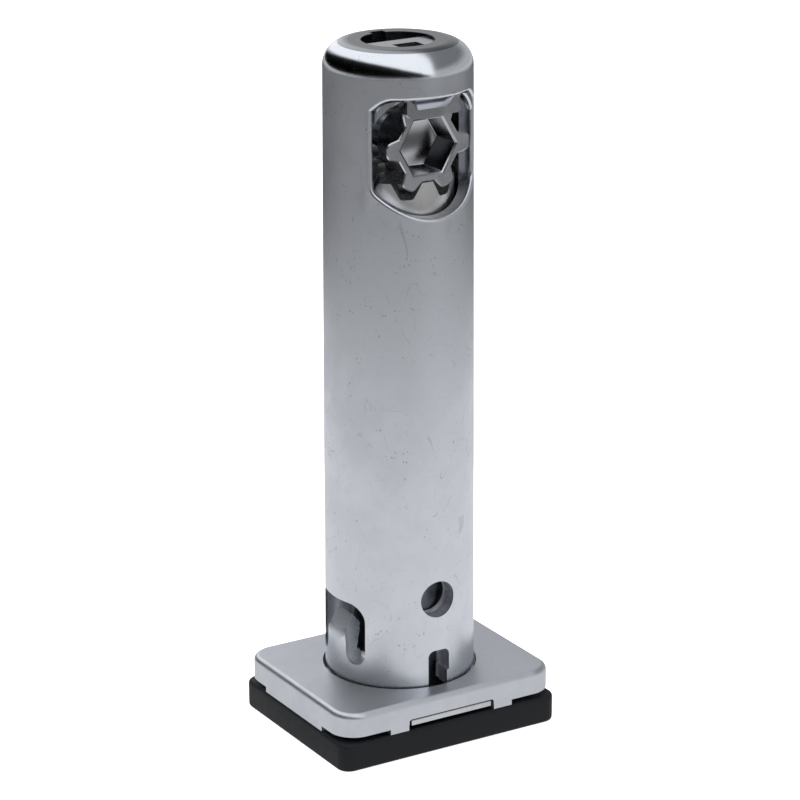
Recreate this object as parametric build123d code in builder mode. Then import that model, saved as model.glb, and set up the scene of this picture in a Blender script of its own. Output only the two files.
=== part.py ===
from build123d import *
import math
import os

# Concealed levelling foot for a cabinet side: a Ø20 shank with side-driven bevel gearing.
# Frame: +Z up, floor at z = 0, spindle axis on X = Y = 0, key window and hex socket face -Y.

# Shank casting: drafted at the bottom and above a straight fitting band
SHANK_R = 10.0
BAND_R = SHANK_R - 0.10
DOME_BASE_R = SHANK_R - 0.35
SHANK_BOTTOM = 7.4
SHANK_TOP = 92.75
BAND_LOW = 26.0
BAND_HIGH = 38.0
MOUTH_CHAMFER = 0.3
DOME_R = 3.2
CHAMBER_R = 7.75
CEILING_Z = SHANK_TOP - 3.35
LOWER_BORE_R = 7.95
TOP_HOLE_R = 4.75
TOP_KEYWAY_HALF = 1.0
TOP_KEYWAY_REACH = 5.6

# Gear axis and window
PINION_Z = SHANK_TOP - 12.45
STEP_Z = PINION_Z - 14.4
WINDOW_HALF = 7.15
WINDOW_ARC_R = WINDOW_HALF + 1.7
WINDOW_TOP = PINION_Z + 6.6
WINDOW_CORNER = 1.9
WINDOW_ROUNDING = 0.38
KEEPER_GAP = 0.12
KEEPER_OPENING_R = WINDOW_HALF + 0.75
RELIEF_SIZE = 8.5
TAB_LEFT = -3.75
TAB_RIGHT = 4.0
TAB_LOW = PINION_Z + 4.2

# Side pinion
FACE_Y = 7.4
PINION_TEETH = 6
LOBE_TIP_R = 6.1
LOBE_TIP_HALF = 0.95
LOBE_ROOT_R = 4.3
LOBE_ROOT_HALF = 1.45
LOBE_TAPER = 0.70
CORE_R = 4.3
CORE_BACK_Y = 2.0
HEX_AF = 7.0
HEX_DEPTH = 4.5
FACE_CHAMFER = 0.15
JOURNAL_R = 2.4
COLLAR_R = 3.2
COLLAR_Y = 4.9
COLLAR_T = 0.8
BUSH_Y = COLLAR_Y + COLLAR_T + 0.2
BUSH_FLANGE_T = 0.6
RUN_CLEAR = 0.06

# Crown gear on the spindle
CROWN_TEETH = 8
CROWN_R = 7.2
CROWN_INNER_R = 4.3
CROWN_BOTTOM = PINION_Z - 13.7
TOOTH_TIP_BELOW = 4.65
TOOTH_DEPTH = 2.1
TOOTH_TIP_HALF = 0.75
TOOTH_BASE_HALF = 2.0

# Spindle and its bearings
SPINDLE_JOURNAL_R = 3.0
THREAD_R = 3.9
THREAD_PITCH = 1.25
SPINDLE_TOP = PINION_Z - 5.3
SHOULDER_Z = STEP_Z - 5.6
THREAD_LENGTH = 34.1
SPINDLE_END = SHOULDER_Z - THREAD_LENGTH
WASHER_T = 0.6
AXIAL_GAP = 0.05
GEAR_PIN_R = 0.75
GEAR_PIN_Z = CROWN_BOTTOM + 2.8

# Nut and sleeve
TRAVEL = 20.0
SLEEVE_R = 6.8
SLEEVE_BORE_R = 5.2
SLEEVE_TOP = SHOULDER_Z - 3.8
NUT_FLANGE_T = 2.5
NUT_BOTTOM = SPINDLE_END + TRAVEL + 0.3
KEY_HALF = 1.2
KEY_DEPTH = 0.8

# Lower guide ring, its mouth opened out below the sleeve's running bore
GUIDE_BOTTOM = SHANK_BOTTOM + 0.2
GUIDE_STEP_Z = SHANK_BOTTOM + 2.1
GUIDE_TOP = 23.5
GUIDE_MOUTH_R = SLEEVE_R + 0.4

# Spring tongues: a slot down both sides of each, with round ends
TONGUE_HALF = 2.3
TONGUE_HEAD_HALF = TONGUE_HALF - 0.5
TONGUE_SLOT_HALF = 5.25
TONGUE_SLOT_TOP = 18.85
TONGUE_SLOT_CORNER = 2.4
SLOT_END_R = (TONGUE_SLOT_HALF - TONGUE_HALF) / 2
SLOT_END_Z = SHANK_BOTTOM + 4.425
TONGUE_STRAIGHT_Z = 12.8

# Front hole and the notch in the mouth
FRONT_HOLE_R = 2.5
FRONT_HOLE_Z = 19.8
FRONT_RELIEF_R = FRONT_HOLE_R + 0.9
NOTCH_LEFT = -1.5
NOTCH_RIGHT = 1.7
NOTCH_FOOT_RIGHT = 1.35
NOTCH_TOP = 12.6

# Base plate
PLATE_X = 33.0
PLATE_Y = 26.7
PLATE_CORNER = 3.5
PLATE_TOP = 7.8
PLATE_EDGE = 4.6
PLATE_ROOF_T = 1.55
SKIRT_T = 1.6
RIM_FILLET = 0.75
PLATE_HOLE_R = SHANK_R + 0.35
TAB_BOTTOM = 3.87
LONG_TAB_HALF = 7.5
SHORT_TAB_IN = 6.6
SHORT_TAB_OUT = 9.4
CUTOUT_TOP = 5.35

# Clip plate, flange and rivets
CLIP_BOTTOM = 4.35
CLIP_T = 0.8
CLIP_TONGUE_HALF = 6.15
RIVET_X = PLATE_X / 2 - 3.9
RIVET_Y = PLATE_Y / 2 - 3.95
RIVET_R = 0.9
FLANGE_R = PLATE_Y / 2 - SKIRT_T - 0.35
FLANGE_T = 1.0

# Pad
PAD_X = PLATE_X + 0.3
PAD_Y = PLATE_Y + 0.3
PAD_CORNER = 1.8
PAD_TOP = 3.85
PEG_X = 10.5
PEG_R = 1.4

os.makedirs("parts", exist_ok=True)


def shank_radius(z):
    """Outside radius of the shank at height z: lower draft, straight band, upper draft."""
    if z < BAND_LOW:
        return BAND_R + (SHANK_R - BAND_R) * (BAND_LOW - z) / (BAND_LOW - SHANK_BOTTOM - MOUTH_CHAMFER)
    if z > BAND_HIGH:
        return BAND_R - (BAND_R - DOME_BASE_R) * (z - BAND_HIGH) / (SHANK_TOP - DOME_R - BAND_HIGH)
    return BAND_R


CLIP_TOP = CLIP_BOTTOM + CLIP_T
BUSH_BOTTOM = SHOULDER_Z + WASHER_T + 2 * AXIAL_GAP
WASHER_TOP_Z = CROWN_BOTTOM - AXIAL_GAP


# Spring tongues: straight foot, then thinned and curved in to a slanted head
with BuildPart() as tongues:
    for side in (-1, 1):
        with BuildSketch(Plane.XZ.offset(-TONGUE_HALF)):
            with BuildLine():
                Polyline((side * SHANK_R, TONGUE_STRAIGHT_Z), (side * (SHANK_R + 0.2), TONGUE_STRAIGHT_Z),
                         (side * (SHANK_R + 0.2), SLOT_END_Z), (side * (LOWER_BORE_R + 0.1), SLOT_END_Z),
                         (side * 7.85, 12.9), (side * 7.5, 14.2), (side * 7.35, 15.4), (side * 8.35, 16.65))
                Spline((side * SHANK_R, TONGUE_STRAIGHT_Z), (side * 9.85, 13.6), (side * 9.5, 14.7),
                       (side * 8.85, 15.8), (side * 8.35, 16.65))
            make_face()
        extrude(amount=2 * TONGUE_HALF)
    with BuildSketch(Plane.YZ.offset(-11)):
        with BuildLine():
            Polyline((-TONGUE_HALF, SLOT_END_Z - 1), (TONGUE_HALF, SLOT_END_Z - 1),
                     (TONGUE_HALF, TONGUE_STRAIGHT_Z), (TONGUE_HEAD_HALF, 17.0),
                     (-TONGUE_HEAD_HALF, 17.0), (-TONGUE_HALF, TONGUE_STRAIGHT_Z), close=True)
        make_face()
    extrude(amount=22, mode=Mode.INTERSECT)
    with BuildSketch(Plane.XZ):
        with BuildLine():
            Polyline((0, SLOT_END_Z - 1), (shank_radius(SLOT_END_Z - 1), SLOT_END_Z - 1),
                     (shank_radius(18), 18), (0, 18), close=True)
        make_face()
    revolve(axis=Axis.Z, mode=Mode.INTERSECT)

# Shank casting: drafted tube with a domed top, stepped bore, window and snap tongues
with BuildPart() as housing:
    with BuildSketch(Plane.XZ):
        with BuildLine():
            Polyline((0, SHANK_BOTTOM), (SHANK_R - MOUTH_CHAMFER, SHANK_BOTTOM),
                     (SHANK_R, SHANK_BOTTOM + MOUTH_CHAMFER), (BAND_R, BAND_LOW), (BAND_R, BAND_HIGH),
                     (DOME_BASE_R, SHANK_TOP - DOME_R))
            ThreePointArc((DOME_BASE_R, SHANK_TOP - DOME_R),
                          (DOME_BASE_R - DOME_R * (1 - math.cos(math.radians(45))),
                           SHANK_TOP - DOME_R * (1 - math.sin(math.radians(45)))),
                          (DOME_BASE_R - DOME_R, SHANK_TOP))
            Polyline((DOME_BASE_R - DOME_R, SHANK_TOP), (0, SHANK_TOP), (0, SHANK_BOTTOM))
        make_face()
    revolve(axis=Axis.Z)
    # Gear window in the front wall: a round clipped at both sides and at the top, its rim rounded
    with BuildSketch(Plane.XZ.offset(4.0)) as window_outline:
        with Locations((0, PINION_Z)):
            Circle(WINDOW_ARC_R)
        with Locations((0, WINDOW_TOP - 10)):
            Rectangle(2 * WINDOW_HALF, 20, mode=Mode.INTERSECT)
        fillet(window_outline.vertices().group_by(Axis.Y)[-1], WINDOW_CORNER)
        fillet(window_outline.vertices().group_by(Axis.Y)[0], WINDOW_CORNER)
    extrude(amount=9, mode=Mode.SUBTRACT)
    window_rim = housing.edges().filter_by(
        lambda e: e.center().Y < -5 and abs(e.center().Z - PINION_Z) < WINDOW_ARC_R + 0.3
        and min(math.hypot(v.X, v.Y) for v in e.vertices()) > DOME_BASE_R - 0.05)
    fillet(window_rim, WINDOW_ROUNDING)
    # Stepped bore
    with BuildSketch(Plane.XY.offset(SHANK_BOTTOM - 1)):
        Circle(LOWER_BORE_R)
    extrude(amount=STEP_Z - SHANK_BOTTOM + 1, mode=Mode.SUBTRACT)
    with BuildSketch(Plane.XY.offset(STEP_Z - 0.5)):
        Circle(CHAMBER_R)
    extrude(amount=CEILING_Z - STEP_Z + 0.5, mode=Mode.SUBTRACT)
    # Top hole with its rear keyway
    with BuildSketch(Plane.XY.offset(CEILING_Z - 0.5)):
        Circle(TOP_HOLE_R)
        with Locations((0, TOP_KEYWAY_REACH / 2)):
            Rectangle(2 * TOP_KEYWAY_HALF, TOP_KEYWAY_REACH)
    extrude(amount=SHANK_TOP, mode=Mode.SUBTRACT)
    # Relief behind the wall for the keeper's front ridge
    with BuildSketch(Plane.XY.offset(WINDOW_TOP - 0.5)):
        with Locations((0, -RELIEF_SIZE / 2)):
            Rectangle(RELIEF_SIZE, RELIEF_SIZE)
    extrude(amount=CEILING_Z - WINDOW_TOP + 0.5, mode=Mode.SUBTRACT)
    # Bearing bore of the pinion journal through the rear wall
    with BuildSketch(Plane.XZ.offset(-5.0)):
        with Locations((0, PINION_Z)):
            Circle(JOURNAL_R + 1.0)
    extrude(amount=-8, mode=Mode.SUBTRACT)
    # Front round hole and the notch open to the bottom
    with BuildSketch(Plane.XZ.offset(5.0)):
        with Locations((0, FRONT_HOLE_Z)):
            Circle(FRONT_HOLE_R)
    extrude(amount=8, mode=Mode.SUBTRACT)
    with BuildSketch(Plane.XZ.offset(5.0)) as notch_outline:
        with BuildLine():
            Polyline((NOTCH_LEFT, SHANK_BOTTOM - 3), (NOTCH_FOOT_RIGHT, SHANK_BOTTOM - 3),
                     (NOTCH_FOOT_RIGHT, GUIDE_STEP_Z), (NOTCH_RIGHT, GUIDE_STEP_Z),
                     (NOTCH_RIGHT, NOTCH_TOP), (NOTCH_LEFT, NOTCH_TOP), close=True)
        make_face()
        fillet(notch_outline.vertices().group_by(Axis.Y)[-1], 0.9)
    extrude(amount=8, mode=Mode.SUBTRACT)
    # Openings that free a spring tongue on both flanks
    for side in (-1, 1):
        with BuildSketch(Plane.YZ.offset(side * 5.0)) as tongue_cut:
            with Locations((0, (TONGUE_SLOT_TOP + SLOT_END_Z) / 2)):
                Rectangle(2 * TONGUE_SLOT_HALF, TONGUE_SLOT_TOP - SLOT_END_Z)
            fillet(tongue_cut.vertices().group_by(Axis.Y)[-1], TONGUE_SLOT_CORNER)
            with Locations((TONGUE_HALF + SLOT_END_R, SLOT_END_Z), (-TONGUE_HALF - SLOT_END_R, SLOT_END_Z)):
                Circle(SLOT_END_R)
        extrude(amount=side * 8, mode=Mode.SUBTRACT)
    add(tongues.part)
housing.part.label = "housing"
export_step(housing.part, "parts/housing.step")

# Keeper block that fills the front of the dome and holds the pinion in
KEEPER_BOTTOM = PINION_Z + LOBE_TIP_R + 0.3
WING_R = shank_radius(PINION_Z) - 0.12
with BuildPart() as gear_keeper:
    # Side wings that close the upper corners of the window round a circular opening
    with BuildSketch(Plane.XZ.offset(5.4)) as wing_outline:
        with Locations((0, WINDOW_TOP - KEEPER_GAP - 5)):
            Rectangle(2 * (WINDOW_HALF - KEEPER_GAP), 10)
        fillet(wing_outline.vertices().group_by(Axis.Y)[-1], WINDOW_CORNER - KEEPER_GAP)
        with Locations((0, PINION_Z)):
            Circle(KEEPER_OPENING_R, mode=Mode.SUBTRACT)
        with Locations((0, PINION_Z - 5)):
            Rectangle(20, 10, mode=Mode.SUBTRACT)
    extrude(amount=5)
    with BuildSketch(Plane.XY.offset(PINION_Z)):
        Circle(WING_R)
    extrude(amount=12, mode=Mode.INTERSECT)
    arc_edges = gear_keeper.edges().filter_by(
        lambda e: min(math.hypot(v.X, v.Z - PINION_Z) for v in e.vertices()) < KEEPER_OPENING_R + 0.02
        and min(math.hypot(v.X, v.Y) for v in e.vertices()) > WING_R - 0.02
        and max(math.hypot(v.X, v.Z - PINION_Z) for v in e.vertices()) < KEEPER_OPENING_R + 0.02)
    chamfer(arc_edges, 0.3)
    with BuildSketch(Plane.XY.offset(KEEPER_BOTTOM)):
        Circle(CHAMBER_R - 0.05)
        with Locations((0, 0.05 - RELIEF_SIZE / 2)):
            Rectangle(RELIEF_SIZE - 0.2, RELIEF_SIZE - 0.1)
    extrude(amount=CEILING_Z - AXIAL_GAP - KEEPER_BOTTOM)
    with BuildSketch(Plane.XY.offset(CEILING_Z - 0.2)):
        Circle(TOP_HOLE_R - 0.1)
    extrude(amount=SHANK_TOP - 0.3 - CEILING_Z + 0.2)
    # Flat retaining tab in front of the pinion face
    with BuildSketch(Plane.XZ.offset(FACE_Y + 0.2)) as tab_outline:
        with Locations(((TAB_RIGHT + TAB_LEFT) / 2, (TAB_LOW + WINDOW_TOP + 0.6) / 2)):
            Rectangle(TAB_RIGHT - TAB_LEFT, WINDOW_TOP + 0.6 - TAB_LOW)
        chamfer(tab_outline.vertices().group_by(Axis.Y)[0].sort_by(Axis.X)[0], 0.5)
        fillet(tab_outline.vertices().group_by(Axis.Y)[0].sort_by(Axis.X)[-1], 0.3)
    extrude(amount=0.8)
    # Back of the block is cut flat, its corners beside the dome stay inside the bore
    with BuildSketch(Plane.XY.offset(PINION_Z)):
        with Locations((0, 0.9 + 6)):
            Rectangle(24, 12)
    extrude(amount=16, mode=Mode.SUBTRACT)
    # Channel from the top face down to the scoop over the tab
    with BuildSketch(Plane.XY.offset(CEILING_Z - 1.2)):
        with Locations((0.1, -3.05)):
            Rectangle(3.5, 3.5)
    extrude(amount=6, mode=Mode.SUBTRACT)
    with BuildSketch(Plane.XZ.offset(8.6)):
        with BuildLine():
            Polyline((-2.2, TAB_LOW + 0.7), (2.2, TAB_LOW + 0.7), (4.0, WINDOW_TOP + 0.5),
                     (-4.0, WINDOW_TOP + 0.5), (-2.2, TAB_LOW + 0.7))
        make_face()
    with BuildSketch(Plane.XZ.offset(7.3)):
        with BuildLine():
            Polyline((-2.0, WINDOW_TOP + 0.05), (2.0, WINDOW_TOP + 0.05), (2.3, WINDOW_TOP + 0.5),
                     (-2.3, WINDOW_TOP + 0.5), (-2.0, WINDOW_TOP + 0.05))
        make_face()
    loft(mode=Mode.SUBTRACT)
gear_keeper.part.label = "gear_keeper"
export_step(gear_keeper.part, "parts/gear_keeper.step")


def lobe_points(scale):
    """Corner points of the six-lobed pinion outline about its own axis."""
    pts = []
    for k in range(PINION_TEETH):
        a = 2 * math.pi * k / PINION_TEETH
        for r, w in ((LOBE_ROOT_R, -LOBE_ROOT_HALF), (LOBE_TIP_R, -LOBE_TIP_HALF),
                     (LOBE_TIP_R, LOBE_TIP_HALF), (LOBE_ROOT_R, LOBE_ROOT_HALF)):
            x = scale * (r * math.cos(a) - w * math.sin(a))
            z = scale * (r * math.sin(a) + w * math.cos(a))
            pts.append((x, PINION_Z + z))
    return pts


# Side pinion: six tapering lobes with a bevelled face, hex socket to the front, journal to the rear
RIM_Y = FACE_Y - FACE_CHAMFER
RIM_SCALE = 1.0
with BuildPart() as side_pinion:
    for front, back in (((FACE_Y, RIM_SCALE, FACE_CHAMFER), (RIM_Y, RIM_SCALE, 0)),
                        ((RIM_Y, RIM_SCALE, 0), (FACE_Y * LOBE_TAPER, LOBE_TAPER, 0))):
        for y, scale, inset in (front, back):
            with BuildSketch(Plane.XZ.offset(y)) as lobes:
                with BuildLine():
                    Polyline(*lobe_points(scale), close=True)
                make_face()
                tips = [v for v in lobes.vertices() if math.hypot(v.X, v.Y - PINION_Z) > 5.4 * scale]
                roots = [v for v in lobes.vertices() if math.hypot(v.X, v.Y - PINION_Z) <= 5.4 * scale]
                fillet(tips, 0.75 * scale)
                fillet(roots, 0.7 * scale)
                if inset:
                    offset(amount=-inset)
        loft()
    with BuildSketch(Plane.XZ.offset(CORE_BACK_Y)):
        with Locations((0, PINION_Z)):
            Circle(CORE_R)
    extrude(amount=RIM_Y - CORE_BACK_Y)
    with BuildSketch(Plane.XZ.offset(RIM_Y)):
        with Locations((0, PINION_Z)):
            Circle(CORE_R)
    extrude(amount=FACE_CHAMFER, taper=45)
    with BuildSketch(Plane.XZ.offset(CORE_BACK_Y)):
        with Locations((0, PINION_Z)):
            Circle(JOURNAL_R)
    extrude(amount=-CORE_BACK_Y - 8.8)
    with BuildSketch(Plane.XZ.offset(-COLLAR_Y)):
        with Locations((0, PINION_Z)):
            Circle(COLLAR_R)
    extrude(amount=-COLLAR_T)
    # Hex socket with a small lead-in
    with BuildSketch(Plane.XZ.offset(FACE_Y)):
        with Locations((0, PINION_Z)):
            RegularPolygon(HEX_AF / 2, 6, major_radius=False)
    extrude(amount=-HEX_DEPTH, mode=Mode.SUBTRACT)
    with BuildSketch(Plane.XZ.offset(FACE_Y)):
        with Locations((0, PINION_Z)):
            RegularPolygon(HEX_AF / 2 + 0.25, 6, major_radius=False)
    extrude(amount=-0.25, taper=45, mode=Mode.SUBTRACT)
side_pinion.part.label = "side_pinion"
export_step(side_pinion.part, "parts/side_pinion.step")

# Flanged bearing bush of the pinion journal in the rear wall
with BuildPart() as pinion_bush:
    with BuildSketch(Plane.XZ.offset(-BUSH_Y)):
        with Locations((0, PINION_Z)):
            Circle(JOURNAL_R + 1.7)
    extrude(amount=-BUSH_FLANGE_T)
    with BuildSketch(Plane.XZ.offset(-BUSH_Y - BUSH_FLANGE_T)):
        with Locations((0, PINION_Z)):
            Circle(JOURNAL_R + 1.0)
    extrude(amount=-2.5)
    with BuildSketch(Plane.XZ.offset(-BUSH_Y)):
        with Locations((0, PINION_Z)):
            Circle(JOURNAL_R + RUN_CLEAR)
    extrude(amount=-4, mode=Mode.SUBTRACT)
pinion_bush.part.label = "pinion_bush"
export_step(pinion_bush.part, "parts/pinion_bush.step")

# Cutter for one gullet of the crown gear, its flanks run to the spindle axis
TIP_Z = PINION_Z - TOOTH_TIP_BELOW
ROOT_Z = TIP_Z - TOOTH_DEPTH
PITCH_ANGLE = 360 / CROWN_TEETH
HALF_PITCH = math.pi * CROWN_R / CROWN_TEETH
with BuildPart() as gullet:
    for radius in (3.4, 8.2):
        k = radius / CROWN_R
        with BuildSketch(Plane.XZ.offset(radius)) as gullet_outline:
            with BuildLine():
                Polyline(((TOOTH_BASE_HALF - HALF_PITCH) * k, ROOT_Z), ((HALF_PITCH - TOOTH_BASE_HALF) * k, ROOT_Z),
                         ((HALF_PITCH - TOOTH_TIP_HALF) * k, TIP_Z), ((HALF_PITCH - TOOTH_TIP_HALF) * k, TIP_Z + 1),
                         ((TOOTH_TIP_HALF - HALF_PITCH) * k, TIP_Z + 1), ((TOOTH_TIP_HALF - HALF_PITCH) * k, TIP_Z),
                         ((TOOTH_BASE_HALF - HALF_PITCH) * k, ROOT_Z))
            make_face()
            fillet(gullet_outline.vertices().group_by(Axis.Y)[1], 0.5 * k)
            fillet(gullet_outline.vertices().group_by(Axis.Y)[0], 0.55 * k)
    loft()

# Crown gear: eight upstanding teeth, pinned to the spindle head
with BuildPart() as drive_gear:
    with BuildSketch(Plane.XY.offset(CROWN_BOTTOM)):
        Circle(CROWN_R)
    extrude(amount=TIP_Z - CROWN_BOTTOM)
    with BuildSketch(Plane.XY.offset(ROOT_Z - 0.3)):
        Circle(CROWN_INNER_R)
    extrude(amount=5, mode=Mode.SUBTRACT)
    for k in range(CROWN_TEETH):
        add(gullet.part.rotate(Axis.Z, PITCH_ANGLE * (k + 0.5)), mode=Mode.SUBTRACT)
    with BuildSketch(Plane.XY.offset(CROWN_BOTTOM)):
        Circle(SPINDLE_JOURNAL_R + 0.02)
    extrude(amount=12, mode=Mode.SUBTRACT)
    with BuildSketch(Plane.YZ.offset(-8)):
        with Locations((0, GEAR_PIN_Z)):
            Circle(GEAR_PIN_R + 0.02)
    extrude(amount=16, mode=Mode.SUBTRACT)
drive_gear.part.label = "drive_gear"
export_step(drive_gear.part, "parts/drive_gear.step")

# Cross pin through gear and spindle head
with BuildPart() as gear_pin:
    with BuildSketch(Plane.YZ.offset(-CROWN_R + 0.3)):
        with Locations((0, GEAR_PIN_Z)):
            Circle(GEAR_PIN_R)
    extrude(amount=2 * CROWN_R - 0.6)
    chamfer(gear_pin.edges(), 0.15)
gear_pin.part.label = "gear_pin"
export_step(gear_pin.part, "parts/gear_pin.step")

# Threaded spindle, drawn at its major diameter
with BuildPart() as spindle:
    with BuildSketch(Plane.XY.offset(SPINDLE_END)):
        Circle(THREAD_R)
    extrude(amount=SHOULDER_Z - SPINDLE_END)
    chamfer(spindle.edges().group_by(Axis.Z)[0], 0.5)
    with BuildSketch(Plane.XY.offset(SHOULDER_Z)):
        Circle(SPINDLE_JOURNAL_R)
    extrude(amount=SPINDLE_TOP - SHOULDER_Z)
    chamfer(spindle.edges().group_by(Axis.Z)[-1], 0.4)
    with BuildSketch(Plane.YZ.offset(-8)):
        with Locations((0, GEAR_PIN_Z)):
            Circle(GEAR_PIN_R + 0.02)
    extrude(amount=16, mode=Mode.SUBTRACT)
    with BuildSketch(Plane.XY.offset(SPINDLE_END)):
        Circle(1.45)
    extrude(amount=7, mode=Mode.SUBTRACT)
spindle.part.label = "spindle"
export_step(spindle.part, "parts/spindle.step")

# Washers above and below the bearing plate
for name, low in (("upper_washer", WASHER_TOP_Z - WASHER_T), ("lower_washer", SHOULDER_Z + AXIAL_GAP)):
    with BuildPart() as washer:
        with BuildSketch(Plane.XY.offset(low)):
            Circle(CROWN_R - 0.6 if name == "upper_washer" else THREAD_R + 1.7)
            Circle(SPINDLE_JOURNAL_R + RUN_CLEAR, mode=Mode.SUBTRACT)
        extrude(amount=WASHER_T)
    washer.part.label = name
    export_step(washer.part, "parts/" + name + ".step")

# Bearing plate seated against the step of the bore
with BuildPart() as bearing_plate:
    with BuildSketch(Plane.XY.offset(BUSH_BOTTOM)):
        Circle(LOWER_BORE_R)
    extrude(amount=STEP_Z - BUSH_BOTTOM)
    with BuildSketch(Plane.XY.offset(BUSH_BOTTOM)):
        Circle(SPINDLE_JOURNAL_R + RUN_CLEAR)
    extrude(amount=6, mode=Mode.SUBTRACT)
    chamfer(bearing_plate.edges().filter_by(GeomType.CIRCLE).group_by(Axis.Z)[0].sort_by(SortBy.RADIUS)[-1], 0.4)
bearing_plate.part.label = "bearing_plate"
export_step(bearing_plate.part, "parts/bearing_plate.step")

# Sliding sleeve with its keyway and a turned-down foot
with BuildPart() as sleeve:
    with BuildSketch(Plane.XY.offset(CLIP_TOP + AXIAL_GAP)):
        Circle(SLEEVE_R - 0.8)
    extrude(amount=FLANGE_T)
    with BuildSketch(Plane.XY.offset(CLIP_TOP + AXIAL_GAP + FLANGE_T)):
        Circle(SLEEVE_R)
    extrude(amount=SLEEVE_TOP - CLIP_TOP - AXIAL_GAP - FLANGE_T)
    with BuildSketch(Plane.XY.offset(CLIP_TOP)):
        Circle(SLEEVE_BORE_R)
    extrude(amount=SLEEVE_TOP, mode=Mode.SUBTRACT)
    with BuildSketch(Plane.XY.offset(8.0)):
        with Locations((0, SLEEVE_R)):
            Rectangle(2 * KEY_HALF, 2 * KEY_DEPTH)
    extrude(amount=SLEEVE_TOP, mode=Mode.SUBTRACT)
sleeve.part.label = "sleeve"
export_step(sleeve.part, "parts/sleeve.step")

# Flanged nut pressed into the sleeve's upper end
with BuildPart() as spindle_nut:
    with BuildSketch(Plane.XY.offset(NUT_BOTTOM)):
        Circle(SLEEVE_BORE_R)
    extrude(amount=SLEEVE_TOP - NUT_BOTTOM)
    with BuildSketch(Plane.XY.offset(SLEEVE_TOP)):
        Circle(LOWER_BORE_R - 0.1)
    extrude(amount=NUT_FLANGE_T)
    chamfer(spindle_nut.edges().group_by(Axis.Z)[-1], 0.4)
    with BuildSketch(Plane.XY.offset(NUT_BOTTOM)):
        Circle(THREAD_R + 0.08)
    extrude(amount=20, mode=Mode.SUBTRACT)
spindle_nut.part.label = "spindle_nut"
export_step(spindle_nut.part, "parts/spindle_nut.step")

# Stop washer and screw at the spindle's lower end
with BuildPart() as stop_washer:
    with BuildSketch(Plane.XY.offset(SPINDLE_END - 1.0)):
        Circle(SLEEVE_BORE_R - 0.3)
        Circle(1.5, mode=Mode.SUBTRACT)
    extrude(amount=1.0)
stop_washer.part.label = "stop_washer"
export_step(stop_washer.part, "parts/stop_washer.step")

with BuildPart() as stop_screw:
    with BuildSketch(Plane.XY.offset(SPINDLE_END - 2.8)):
        Circle(2.75)
    extrude(amount=1.8)
    chamfer(stop_screw.edges().group_by(Axis.Z)[0], 0.3)
    with BuildSketch(Plane.XY.offset(SPINDLE_END - 1.0)):
        Circle(1.43)
    extrude(amount=6.5)
    with BuildSketch(Plane.XY.offset(SPINDLE_END - 2.8)):
        RegularPolygon(1.25, 6, major_radius=False)
    extrude(amount=1.3, mode=Mode.SUBTRACT)
stop_screw.part.label = "stop_screw"
export_step(stop_screw.part, "parts/stop_screw.step")

# Guide ring in the shank's mouth, cut clear of the tongues, the notch and the front hole
with BuildPart() as guide_ring:
    with BuildSketch(Plane.XY.offset(GUIDE_BOTTOM)):
        Circle(LOWER_BORE_R)
        Circle(SLEEVE_R + 0.08, mode=Mode.SUBTRACT)
        with Locations((0, SLEEVE_R - KEY_DEPTH / 2 + 0.3)):
            Rectangle(2 * (KEY_HALF - 0.1), KEY_DEPTH + 0.4)
    extrude(amount=GUIDE_TOP - GUIDE_BOTTOM)
    with BuildSketch(Plane.XY.offset(GUIDE_BOTTOM)):
        Circle(GUIDE_MOUTH_R)
    extrude(amount=GUIDE_STEP_Z - GUIDE_BOTTOM, mode=Mode.SUBTRACT)
    with BuildSketch(Plane.YZ.offset(-9)) as tongue_room:
        with Locations((0, (TONGUE_SLOT_TOP + 0.65 + SLOT_END_Z - 0.9) / 2)):
            Rectangle(2 * TONGUE_SLOT_HALF - 1.5, TONGUE_SLOT_TOP + 0.65 - SLOT_END_Z + 0.9)
        fillet(tongue_room.vertices(), 0.8)
    extrude(amount=18, mode=Mode.SUBTRACT)
    with BuildSketch(Plane.XZ.offset(5.0)):
        with BuildLine():
            Polyline((NOTCH_LEFT, GUIDE_BOTTOM - 1), (NOTCH_FOOT_RIGHT, GUIDE_BOTTOM - 1),
                     (NOTCH_FOOT_RIGHT, GUIDE_STEP_Z), (NOTCH_RIGHT, GUIDE_STEP_Z),
                     (NOTCH_RIGHT, NOTCH_TOP), (NOTCH_LEFT, NOTCH_TOP), close=True)
        make_face()
    extrude(amount=5, mode=Mode.SUBTRACT)
    with BuildSketch(Plane.XZ.offset(5.0)):
        with Locations((0, FRONT_HOLE_Z)):
            Circle(FRONT_HOLE_R)
    extrude(amount=5, mode=Mode.SUBTRACT)
    # Flat relief behind the front hole
    with BuildSketch(Plane.XZ.offset(5.0)):
        with Locations((0, FRONT_HOLE_Z)):
            Circle(FRONT_RELIEF_R)
    extrude(amount=SLEEVE_R + 0.2 - 5.0, mode=Mode.SUBTRACT)
guide_ring.part.label = "guide_ring"
export_step(guide_ring.part, "parts/guide_ring.step")

# Flange disc that carries the sleeve's shoulder
with BuildPart() as base_flange:
    with BuildSketch(Plane.XY.offset(CLIP_TOP + AXIAL_GAP)):
        Circle(FLANGE_R)
        Circle(SLEEVE_R - 0.78, mode=Mode.SUBTRACT)
    extrude(amount=FLANGE_T)
base_flange.part.label = "base_flange"
export_step(base_flange.part, "parts/base_flange.step")

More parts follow.
